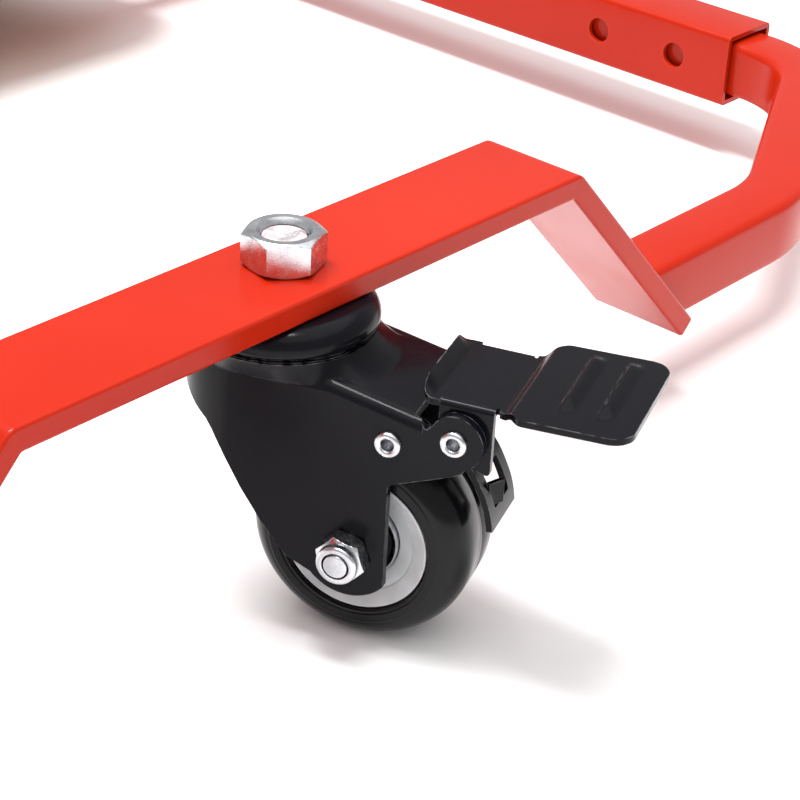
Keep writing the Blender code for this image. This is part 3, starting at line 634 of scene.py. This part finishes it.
def make_deck_bolts():
    """Washers and lock nuts under the cross rails, on the bolts that hold the deck board."""
    under = RAIL_HEIGHT - TUBE / 2
    for name in ("foot", "middle", "head"):
        low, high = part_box(f"cross_rail_{name}")
        y = (low[1] + high[1]) / 2 / MM
        for label, x in BOLT_PLACES:
            washer = turned([(3.2, -0.05), (7.0, -0.05), (7.2, -0.35), (7.2, -1.1), (7.0, -1.3),
                             (3.2, -1.3)], 48)
            at = Matrix.Translation((x, y, under))
            add_piece(f"deck_washer_{name}_{label}", washer, MATERIALS["zinc"], at, "root")
            bolt = turned([(0, 0), (2.95, 0), (2.95, -6.4), (2.5, -6.9), (0, -6.9)], 32)
            add_piece(f"deck_bolt_{name}_{label}", bolt, MATERIALS["zinc"], at, "root")
            nut_at = Matrix.Translation((x, y, under - 1.35 - 4.8))
            turn = Matrix.Rotation(math.radians(11.0 * (hash_of(name + label) % 6)), 4, "Z")
            nut = hexagon_nut(AXLE_NUT_ACROSS, 4.8, AXLE_RADIUS + 0.1)
            add_piece(f"deck_nut_{name}_{label}", nut, MATERIALS["zinc"], nut_at @ turn, "root",
                      sharp=24.0)


# ---------------------------------------------------------------- caster pieces
def hexagon_nut(across, height, bore, steps=96):
    """A nut whose corners are cut by cones at both faces, with thread ridges in its bore."""
    flat = across / 2
    corner = flat / math.cos(math.radians(30))

    def hex_radius(angle):
        return flat / math.cos((angle + math.pi / 6) % (math.pi / 3) - math.pi / 6)

    levels = 9
    face = flat * 0.95
    cone = []
    for k in range(levels + 1):
        z = (corner - face) * CHAMFER_SLOPE * k / levels
        cone.append((z, face + z / CHAMFER_SLOPE))
    turns = [2 * math.pi * i / steps for i in range(steps)]
    rings = []
    for z, limit in cone + [(height - z, limit) for z, limit in reversed(cone)]:
        radii = [min(hex_radius(t), limit) for t in turns]
        rings.append([(r * math.cos(t), r * math.sin(t), z) for r, t in zip(radii, turns)])
    inside = [(height, bore + 0.9), (height - 0.9, bore + 0.1)]
    for k in range(int(height - 2)):
        z = height - 1.2 - k
        inside += [(z, bore), (z - 0.5, bore + 0.45)]
    inside += [(0.9, bore), (0, bore + 0.9)]
    for z, r in inside:
        rings.append([(r * math.cos(t), r * math.sin(t), z) for t in turns])
    return skin(rings, closed_ring=True)


def make_kingpin(side):
    """Hex nut, hollow rough stem end, and the dust cap with its rolled seam."""
    name = f"{side}_caster"
    turn = Matrix.Rotation(math.radians(NUT_TURN), 4, "Z")
    place = station_place(side)
    add_piece(f"{name}_hex_nut", hexagon_nut(NUT_ACROSS, NUT_HEIGHT, STEM_RADIUS + 0.1), MATERIALS["zinc"],
              place @ Matrix.Translation((0, 0, STRAP_TOP + SEATED)) @ turn, "root", [f"{name}_kingpin_nut"],
              sharp=24.0)
    top = STRAP_TOP + NUT_HEIGHT - 1.0
    dimple = [(0, top - 0.9), (1.6, top - 0.7), (3.0, top - 0.15), (3.9, top), (STEM_RADIUS - 0.2, top - 0.4)]
    stem = dimple + [(STEM_RADIUS - 0.2, STRAP_TOP - STRAP_THICK), (0, STRAP_TOP - STRAP_THICK)]
    bm = turned(stem, 40)
    for vert in bm.verts:
        vert.co.z += 0.16 * noise.noise(vert.co * 0.9) if vert.co.z > top - 2 else 0.0
    add_piece(f"{name}_stem_end", bm, MATERIALS["stem_end"], place, "root", sharp=50.0)
    under = STRAP_TOP - STRAP_THICK - 0.1
    roll, low = under - CAP_WAIST, SEAT_TOP + SEATED
    cap = [(0, under), (CAP_RADIUS - roll - 1.0, under),
           *arc(CAP_RADIUS - roll, CAP_WAIST, roll, 88, 0, 14)]
    seam = [(CAP_RADIUS - 0.15, CAP_WAIST - 0.7), (SEAT_RADIUS - 0.1, low + 1.15),
            (SEAT_RADIUS - 0.7, low + 1.0), (SEAT_RADIUS - 0.8, low + 0.55),
            (SEAT_RADIUS - 0.2, low + 0.3), (SEAT_RADIUS - 0.35, low)]
    inside = CROWN_TOP - SHEET - GAP
    flange = [(FLANGE_BORE, low), (FLANGE_BORE, inside), (FLANGE_RADIUS, inside),
              (FLANGE_RADIUS, FLANGE_LOW), (0, FLANGE_LOW)]
    bm = turned(cap + seam + flange, 120)
    for vert in bm.verts:
        if low + 0.2 < vert.co.z < low + 1.1 and math.hypot(vert.co.x, vert.co.y) > 15:
            vert.co.z += 0.25 * noise.noise(vert.co * 0.55)
    add_piece(f"{name}_dust_cap", bm, MATERIALS["black_paint"], place, "root", [f"{name}_top_race"],
              sharp=40.0)


def smooth_step(value):
    share = min(max(value, 0.0), 1.0)
    return share * share * (3 - 2 * share)


def crown_height(x):
    """The crown is level round the kingpin and slopes down in front of it."""
    return CROWN_TOP - CROWN_FALL * max(x - CROWN_LEVEL, 0.0)


def fork_outline(braked):
    """Side view of the fork; the braked fork has an ear for the pedal's rivet."""
    back = SKIRT_CENTRE - FORK_HALF - 2
    foot = arc(TRAIL, WHEEL_RADIUS, 11.0, 222, 322, 24)
    rear = [(back, 80), (back, 57.0), (-19.6, 55.4), (-14.0, 51.3), (-10.8, 49.4), (-9.2, 47.4), (-6.9, 43.5),
            (-2.1, 35.0), (2.8, 27.8), (8.9, 20.5)]
    front = [(31.6, 24.0), *arc(33.2, 43.4, 1.6, 180, 110, 5)]
    if braked:
        ear = [(45.6, 50.3), (47.4, 51.4), *arc(*BRAKE_PIVOT, EAR_RADIUS, -62, 112, 28)]
        notch = [(41.4, 62.6), (40.6, 61.4), (39.5, 60.0), (38.2, 60.4), (37.6, 61.2), (37.4, 80)]
        return rear + foot + front + ear + notch
    return rear + foot + front + [(34.0, 48.0), (33.0, 56.0), (30.0, 62.0), (29.0, 80)]


def crown_solid(half, drop, roll, front, mouth):
    """A solid with a half-round back, straight sides and a rolled top edge, open upwards past the mouth."""
    level = (18.0, 14.0, 9.0, 4.0, 0.0)
    stations = [front, mouth + 0.35, mouth, mouth - 3, mouth - 7, mouth - 12, *level]
    side = [(x, half, 0.0, 1.0) for x in stations]
    turns = [math.radians(90 + 180 * i / 48) for i in range(49)]
    back = [(SKIRT_CENTRE + half * math.cos(t), half * math.sin(t), math.cos(t), math.sin(t)) for t in turns]
    plan = side + back + [(x, -y, nx, -ny) for x, y, nx, ny in reversed(side)]

    def top(x):
        return 90.0 if x > mouth + 0.1 else crown_height(x) - drop

    rings = [[(x, y, -5.0) for x, y, _, _ in plan]]
    for i in range(9):
        turn = math.radians(90 * i / 8)
        inset, down = roll * (1 - math.cos(turn)), roll * (1 - math.sin(turn))
        rings.append([(x - nx * inset, y - ny * inset, top(x) - down) for x, y, nx, ny in plan])
    bm = bmesh.new()
    rows = [[bm.verts.new(p) for p in ring] for ring in rings]
    count = len(plan)
    for a, b in zip(rows, rows[1:]):
        for i in range(count):
            j = (i + 1) % count
            bm.faces.new((a[i], a[j], b[j], b[i]))
    for row in (rows[0], rows[-1]):
        for i in range(count // 2):
            corners = (row[i], row[i + 1], row[count - 2 - i], row[count - 1 - i])
            bm.faces.new(tuple(dict.fromkeys(corners)))
    return bm


def crown_surface(x, y):
    """Height of the crown's outer surface, with the rolled edge towards the cheeks and the back."""
    inset = FORK_HALF - (abs(y) if x > SKIRT_CENTRE else math.hypot(x - SKIRT_CENTRE, y))
    left = CROWN_ROLL - min(max(inset, 0.0), CROWN_ROLL)
    return crown_height(x) - CROWN_ROLL + math.sqrt(CROWN_ROLL ** 2 - left ** 2)


def seat_solid():
    """The round seat under the dust cap: it flares on to the crown and tucks in over the cheeks."""
    steps, sides = 12, 144
    turns = [math.tau * k / sides for k in range(sides)]
    rings = [[(7.0 * math.cos(t), 7.0 * math.sin(t), 64.6) for t in turns]]
    for i in range(steps, -1, -1):
        share = i / steps
        ring = []
        for turn in turns:
            forward, sideways = math.cos(turn), abs(math.sin(turn))
            reach = FORK_HALF / max(sideways, 0.05)
            if reach * forward < SKIRT_CENTRE:
                reach = SKIRT_CENTRE * forward + math.sqrt(FORK_HALF ** 2 - (SKIRT_CENTRE * sideways) ** 2)
            target = min(reach - 0.3, SEAT_RADIUS + 9.0)
            tuck = smooth_step((SEAT_RADIUS + 0.5 - reach) / 4.5)
            end = crown_surface(target * forward, target * sideways) - 0.12 - 1.2 * tuck
            fall = smooth_step(share) if tuck > 0 else 1 - (1 - share) ** 2
            fall = tuck * share + (1 - tuck) * fall
            radius = SEAT_RADIUS + (target - SEAT_RADIUS) * share
            ring.append((radius * forward, radius * math.sin(turn), SEAT_TOP - (SEAT_TOP - end) * fall))
        rings.append(ring)
    return skin(rings)


def make_fork(side, braked):
    """The stamped fork: skirted round back, rolled crown with its seat, open mouth, pierced for its pins."""
    name = f"{side}_caster_fork"
    place = caster_place(side)
    fork = add_piece(f"{name}_stamping", crown_solid(FORK_HALF, 0.0, CROWN_ROLL, 60.0, 38.4),
                     MATERIALS["black_paint"], place, f"{side}_swivel", [name])
    cut(fork, prism_xz(fork_outline(braked), -40, 40), place, "INTERSECT")
    cut(fork, crown_solid(FORK_HALF - SHEET, SHEET, CROWN_ROLL - SHEET, 61.0, 36.0), place)
    cut(fork, seat_solid(), place, "UNION")
    cut(fork, turned([(0, 90), (6.5, 90), (6.5, 50), (0, 50)], 48), place)
    pins = [(TRAIL, WHEEL_RADIUS, AXLE_RADIUS)]
    if braked:
        pins += [(*BRAKE_PIVOT, PIN_RADIUS), (*TONGUE_PIVOT, PIN_RADIUS)]
    for x, z, radius in pins:
        drill = turned([(0, 40), (radius + GAP, 40), (radius + GAP, -40), (0, -40)], 32, "Y")
        cut(fork, drill, place @ Matrix.Translation((x, 0, z)))
    soften(fork, 0.25, 2, 42.0)


def make_wheel(side):
    """Tyre with its parting line, dished hub, and bearing faces with a dark seal."""
    name, body = f"{side}_caster", f"{side}_wheel"
    place = caster_place(side, TRAIL, WHEEL_RADIUS)
    flat, crown = WHEEL_HALF - SHOULDER, WHEEL_RADIUS - SHOULDER
    half = [(WHEEL_RADIUS - 0.12, 0.12), (WHEEL_RADIUS, 0.35)]
    half += [(crown + SHOULDER * math.sin(math.radians(a)), flat + SHOULDER * math.cos(math.radians(a)))
             for a in range(90, 24, -5)]
    half += [(20.4, 12.45), (20.1, 12.5), (19.8, 12.7), (18.0, 12.75), (17.8, 12.5),
             (HUB_RADIUS + 0.7, 12.35), (HUB_RADIUS + 0.25, 11.4), (HUB_RADIUS + 0.2, 8.0)]
    profile = half + [(r, -y) for r, y in reversed(half)]
    add_piece(f"{name}_tyre_moulding", turned(profile, 128, "Y"), MATERIALS["polyurethane"], place, body,
              [f"{name}_tyre"], sharp=28.0)
    seat = BEARING_RADIUS + 0.15
    face = [(seat, 7.6), (seat, 8.9), (seat + 0.35, 9.2), (13.0, 9.9), (13.2, 10.15), (15.8, 11.5),
            (16.2, 11.7), (HUB_RADIUS, 11.6)]
    add_piece(f"{name}_hub_dish", turned(face + [(r, -y) for r, y in reversed(face)], 96, "Y"),
              MATERIALS["hub_plastic"], place, body, [f"{name}_hub"], sharp=20.0)
    bore, end = AXLE_RADIUS + 0.1, FORK_HALF - SHEET - 0.3
    rings = {
        "outer_ring": [(8.1, 9.6), (8.4, 10.2), (9.1, 10.2), (BEARING_RADIUS, 9.7)],
        "inner_ring": [(bore, end), (4.6, end), (4.9, end - 0.3), (4.9, 10.7), (5.5, 10.5), (6.1, 9.8)],
        "seal": [(6.15, 10.0), (6.5, 9.8), (6.8, 9.4), (7.4, 9.4), (7.7, 9.8), (8.05, 9.9)],
    }
    for label, ring in rings.items():
        outer = label == "outer_ring"
        profile = ring + [(r, -y) for r, y in reversed(ring)]
        look = MATERIALS["seal"] if label == "seal" else MATERIALS["bearing_steel"]
        add_piece(f"{name}_bearing_{label}", turned(profile, 80, "Y"), look, place, body,
                  [f"{name}_bearing"] if outer else [], sharp=35.0)


def make_axle(side):
    """Lock nut with its domed collar, the bolt's chamfered end and the socket head."""
    name, body = f"{side}_caster", f"{side}_swivel"
    outside = FORK_HALF + SEATED
    centre = caster_place(side, TRAIL, WHEEL_RADIUS)
    to_near = Matrix.Translation((0, -outside, 0)) @ Matrix.Rotation(math.radians(90), 4, "X")
    tilt = Matrix.Rotation(math.radians(17), 4, "Z")
    nut = hexagon_nut(AXLE_NUT_ACROSS, 4.3, AXLE_RADIUS + 0.1)
    add_piece(f"{name}_lock_nut", nut, MATERIALS["zinc"], centre @ to_near @ tilt, body, [f"{name}_axle_nut"],
              sharp=24.0)
    collar = [(3.15, 6.3), (3.5, 6.45), (4.0, 6.35), *arc(3.9, 5.6, 0.75, 60, 0, 5), (4.65, 3.9), (3.15, 3.9)]
    add_piece(f"{name}_lock_nut_collar", turned(collar, 64), MATERIALS["zinc"], centre @ to_near, body,
              sharp=40.0)
    head = [(0, -outside - 2.4), (2.3, -outside - 2.4), (2.5, -outside - 4.1), (4.6, -outside - 4.1),
            (5.4, -outside - 3.4), (5.6, -outside - 2.4), (5.6, -outside - 0.4), (5.3, -outside),
            (AXLE_RADIUS, -outside)]
    tip = [(AXLE_RADIUS, 21.8), (AXLE_RADIUS - 0.35, 22.5), (2.0, 22.75), (0, 22.7)]
    bolt = turned(head + tip, 64, "Y")
    add_piece(f"{name}_axle_screw", bolt, MATERIALS["zinc"], centre, body, [f"{name}_axle_bolt"],
              sharp=35.0)


def make_rivet(side, label, where):
    """Semi-tubular rivet: rolled hollow head on the near side, low dome on the far side."""
    outside, pin = FORK_HALF + SEATED, PIN_RADIUS
    profile = [(0, 13), (1.35, 13), (1.35, outside + 0.3), *arc(2.15, outside + 0.25, 0.8, 170, 10, 10),
               (RIVET_HEAD, outside + 0.05), (pin, outside), (pin, -outside), (RIVET_HEAD + 0.4, -outside),
               (RIVET_HEAD, -outside - 1.0), (1.9, -outside - 1.55), (0, -outside - 1.7)]
    add_piece(f"{side}_caster_{label}_hollow_rivet", turned(profile, 48, "Y"), MATERIALS["zinc"],
              caster_place(side, *where), f"{side}_swivel", [f"{side}_caster_{label}_rivet"],
              sharp=40.0)


def pedal_height(x, y):
    """Upper surface of the pedal: upturned back edge, flat saddle, step, and a pad with two ribs."""
    lip = 3.1 * max(1 - (x - PEDAL_BACK) / 2.6, 0.0) ** 1.2 * smooth_step((14.8 - abs(y)) / 6.5)
    rise = 1.7 * smooth_step((x - 54.6) / 2.6) + 0.6 * min(max((x - 58) / 22, 0.0), 1.0)
    ribs = 0.0
    for start in (64.7, 72.8):
        ribs += smooth_step((x - start) / 0.7) * (1 - smooth_step((x - start - 1.3) / 2.8))
    fade = smooth_step((y + 11) / 4.5) * smooth_step((15.0 - y) / 3.0)
    return PEDAL_LEVEL + lip + rise + 1.1 * ribs * fade


def pedal_half_width(x):
    """Half width of the flat sheet in plan; the folded flanges add the rest beside the saddle."""
    if x > PEDAL_TIP - PEDAL_CORNER:
        left = PEDAL_CORNER ** 2 - (x - PEDAL_TIP + PEDAL_CORNER) ** 2
        return PEDAL_HALF - PEDAL_CORNER + math.sqrt(max(left, 0.0))
    if x < FLANGE_BACK:
        left = max(PEDAL_BACK + BACK_CORNER - x, 0.0)
        return FLANGE_OUT - BACK_CORNER + math.sqrt(max(BACK_CORNER ** 2 - left ** 2, 0.0))
    if x < FLANGE_FRONT + 0.1:
        return 12.4
    if x < FLANGE_FRONT + 0.9:
        return 11.9
    return 13.2 + (PEDAL_HALF - 13.2) * smooth_step((x - 53.8) / 5.8)


def pedal_flange(sign):
    """One side of the saddle folded down round a bead, as a straight length with an angle section."""
    bead, inner = 1.5, FLANGE_OUT - PEDAL_SHEET
    under = PEDAL_LEVEL - bead
    section = [(inner - 1.2, PEDAL_LEVEL), *arc(inner, under, bead, 90, 0, 8), (FLANGE_OUT, 48.0),
               (inner, 48.0), (inner, under - 0.3), (inner - 0.3, under), (inner - 1.2, under)]
    ends = (FLANGE_BACK, FLANGE_FRONT)
    return skin([[(x - BRAKE_PIVOT[0], sign * y, z - BRAKE_PIVOT[1]) for y, z in section] for x in ends])


def make_pedal(side):
    """Stamped pedal: formed plate, folded flanges round the pin, ribs and rounded pad."""
    name = f"{side}_caster_brake_pedal"
    px, pz = BRAKE_PIVOT
    place = caster_place(side, px, pz)
    stations = [PEDAL_BACK + 0.3 * i for i in range(14)] + [FLANGE_BACK - 0.05, FLANGE_BACK + 0.05]
    stations += [42.0 + i for i in range(11)]
    stations += [FLANGE_FRONT + d for d in (0.05, 0.15, 0.85, 0.95)] + [54.0 + 0.35 * i for i in range(77)]
    stations += [81.3, 81.6, 81.8, PEDAL_TIP]
    shares = [math.sin(math.pi / 2 * (i / 22)) for i in range(-22, 23)]
    rings = []
    for x in stations:
        half = pedal_half_width(x)
        upper = [(x - px, s * half, pedal_height(x, s * half) - pz) for s in shares]
        rings.append(upper + [(a, b, c - PEDAL_SHEET) for a, b, c in reversed(upper)])
    plate = add_piece(f"{name}_stamping", skin(rings), MATERIALS["black_paint"], place, f"{side}_pedal",
                      [name], sharp=40.0)
    hanging = [(FLANGE_BACK - 1, 68), (FLANGE_BACK - 1, 62), *arc(px, pz, 5.6, 195, 268, 14),
               *arc(FLANGE_FRONT - 0.9, 51.9, 0.9, -80, 0, 4), (FLANGE_FRONT, 68)]
    for sign, label in ((-1, "near"), (1, "far")):
        flange = add_piece(f"{name}_flange_{label}", pedal_flange(sign), MATERIALS["black_paint"], place,
                           sharp=40.0)
        cut(flange, prism_xz([(x - px, z - pz) for x, z in hanging], -30, 30), place, "INTERSECT")
        join = plate.modifiers.new("join", "BOOLEAN")
        join.operation, join.object = "UNION", flange
        bake_modifiers(plate)
        bpy.data.objects.remove(flange, do_unlink=True)
    drill = turned([(0, 30), (PIN_RADIUS + 0.2, 30), (PIN_RADIUS + 0.2, -30), (0, -30)], 32, "Y")
    cut(plate, drill, place)
    soften(plate, 0.2, 2, 42.0)


def make_tongue(side):
    """The curved spring plate under the pedal, hooked over its pin, with a window."""
    name = f"{side}_caster_brake_tongue"
    px, pz = TONGUE_PIVOT
    place = caster_place(side, px, pz)
    knots = [(28.2, 57.4), (29.6, 58.4), (31.2, 58.7), (33.4, 58.0), (38.4, 54.6), (43.6, 50.6), (47.4, 46.0),
             (50.2, 40.4), (51.4, 36.6), (51.9, 33.4)]
    line = []
    for i in range(len(knots) - 1):
        p0, p1, p2, p3 = (Vector(knots[min(max(j, 0), len(knots) - 1)]) for j in (i - 1, i, i + 1, i + 2))
        for k in range(4):
            t = k / 4
            line.append(0.5 * (2 * p1 + (p2 - p0) * t + (2 * p0 - 5 * p1 + 4 * p2 - p3) * t * t
                               + (3 * p1 - p0 - 3 * p2 + p3) * t ** 3))
    line.append(Vector(knots[-1]))
    upper, lower = [], []
    for i, here in enumerate(line):
        along = (line[min(i + 1, len(line) - 1)] - line[max(i - 1, 0)]).normalized()
        normal = Vector((-along.y, along.x)) * 0.75
        upper.append(here + normal - Vector((px, pz)))
        lower.append(here - normal - Vector((px, pz)))
    outline = [tuple(p) for p in upper] + [tuple(p) for p in reversed(lower)]
    plate = add_piece(f"{name}_spring", prism_xz(outline, -TONGUE_HALF, TONGUE_HALF),
                      MATERIALS["black_paint"], place, f"{side}_tongue", [name],
                      sharp=40.0)
    window = [(x - px, z - pz) for x, z in ((44.0, 37.6), (60.0, 37.6), (60.0, 45.6), (44.0, 45.6))]
    cut(plate, prism_xz(window, -WINDOW_HALF, WINDOW_HALF), place)
    tab = [(49.4 - px, -4.8), (50.5 - px, -5.0), (52.7 - px, -1.4), (51.8 - px, -0.9)]
    cut(plate, prism_xy(tab, 38.0 - pz, 43.6 - pz), place, "UNION")
    soften(plate, 0.25, 2, 50.0)


# ---------------------------------------------------------------- pads
def inflate(piece, cap):
    """Swell a pad with cloth pressure; no point moves further than the cap."""
    remesh = piece.modifiers.new("remesh", "REMESH")
    remesh.mode, remesh.voxel_size = "VOXEL", CLOTH_VOXEL * MM
    bake_modifiers(piece)
    start = [v.co.copy() for v in piece.data.vertices]
    cloth = piece.modifiers.new("cloth", "CLOTH")
    cloth.settings.use_pressure = True
    cloth.settings.uniform_pressure_force = CLOTH_PRESSURE
    cloth.settings.effector_weights.gravity = 0.0
    cloth.settings.quality = 5
    for number in range(1, CLOTH_FRAMES + 1):
        SCENE.frame_set(number)
    bake_modifiers(piece)
    SCENE.frame_set(1)
    for vert, before in zip(piece.data.vertices, start):
        move = vert.co - before
        if move.length > cap * MM:
            vert.co = before + move.normalized() * cap * MM


def make_pad(node, seed, channels=()):
    """One vinyl pad: crowned, pinched at its corners, sewn channels, piping round the top edge."""
    low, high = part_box(node)
    centre = [(a + b) / 2 / MM for a, b in zip(low, high)]
    half = [(b - a) / 2 / MM for a, b in zip(low, high)]
    plan = rounded_rect(half[0] - PAD_INSET, half[1] - PAD_INSET, PAD_RADIUS, 8)
    outline = [(x + centre[0], y + centre[1]) for x, y in plan]
    bm = prism_xy(outline, low[2] / MM + 1.0, high[2] / MM - PAD_INSET)
    bmesh.ops.bevel(bm, geom=[e for e in bm.edges if abs(e.verts[0].co.z - e.verts[1].co.z) < 1],
                    offset=7, segments=4, affect="EDGES", profile=0.6)
    pad = add_piece(f"{node}_cushion", bm, MATERIALS["vinyl"], None, "root", [node], sharp=180)
    inflate(pad, PAD_SWELL)
    top, base = high[2] / MM, low[2] / MM
    for vert in pad.data.vertices:
        x, y, z = (c / MM for c in vert.co)
        share = min(max((z - base) / (top - base), 0.0), 1.0)
        across = max(abs(x - centre[0]) / half[0], abs(y - centre[1]) / half[1])
        crown = PAD_CROWN * (1 - min(across, 1.0) ** 3) * share
        groove = 0.0
        if share > 0.5:
            groove = sum(CHANNEL_DEPTH * math.exp(-((y - at) / CHANNEL_WIDTH) ** 2) for at in channels)
        crease = 0.7 * noise.noise(Vector((x, y, z + seed)) * 0.02) * share
        vert.co.z += (crown - groove * share + crease) * MM
        vert.co.z = max(vert.co.z, (base + 0.1) * MM)
    smooth = pad.modifiers.new("smooth", "SUBSURF")
    smooth.levels = smooth.render_levels = 1
    bake_modifiers(pad)
    pad.data.shade_smooth()
    make_piping(node, pad, centre, half, top)


def make_piping(node, pad, centre, half, top):
    """A sewn cord of vinyl that follows the pad's upper edge."""
    bpy.context.view_layer.update()
    rings = []
    height = (top - PIPING_DROP) * MM
    for x, y in spaced(rounded_rect(half[0] - 4.5, half[1] - 4.5, 27, 14), 7):
        here = Vector(((x + centre[0]) * MM, (y + centre[1]) * MM, height))
        inward = Vector((centre[0] * MM, centre[1] * MM, height)) - here
        start = here - inward.normalized() * 0.03
        hit, where, _, _ = pad.ray_cast(start, inward.normalized())
        spot = (where if hit else here) / MM
        outward = -Vector((inward.x, inward.y, 0)).normalized()
        rings.append([spot + outward * (PIPING_RADIUS * math.cos(t) + 0.4)
                      + Vector((0, 0, PIPING_RADIUS * math.sin(t)))
                      for t in (2 * math.pi * k / 10 for k in range(10))])
    add_piece(f"{node}_piping", skin(rings, closed_ring=True), MATERIALS["vinyl"], None, "root",
              sharp=180)


def main():
    make_camera()
    make_studio()
    paint_cad_nodes()
    for side, (_, _, _, braked) in STATIONS.items():
        make_strap(side)
        make_kingpin(side)
        make_fork(side, braked)
        make_wheel(side)
        make_axle(side)
        if braked:
            make_rivet(side, "pedal", BRAKE_PIVOT)
            make_rivet(side, "tongue", TONGUE_PIVOT)
            make_pedal(side)
            make_tongue(side)
    for end in ("foot", "head"):
        for side in ("right", "left"):
            make_corner(end, side)
    make_cross_rail_welds()
    make_deck_bolts()
    make_pad("hip_pad", 3, (-130.0, -50.0))
    make_pad("back_pad", 17, (72.0, 152.0))
    make_pad("head_pad", 29)


main()
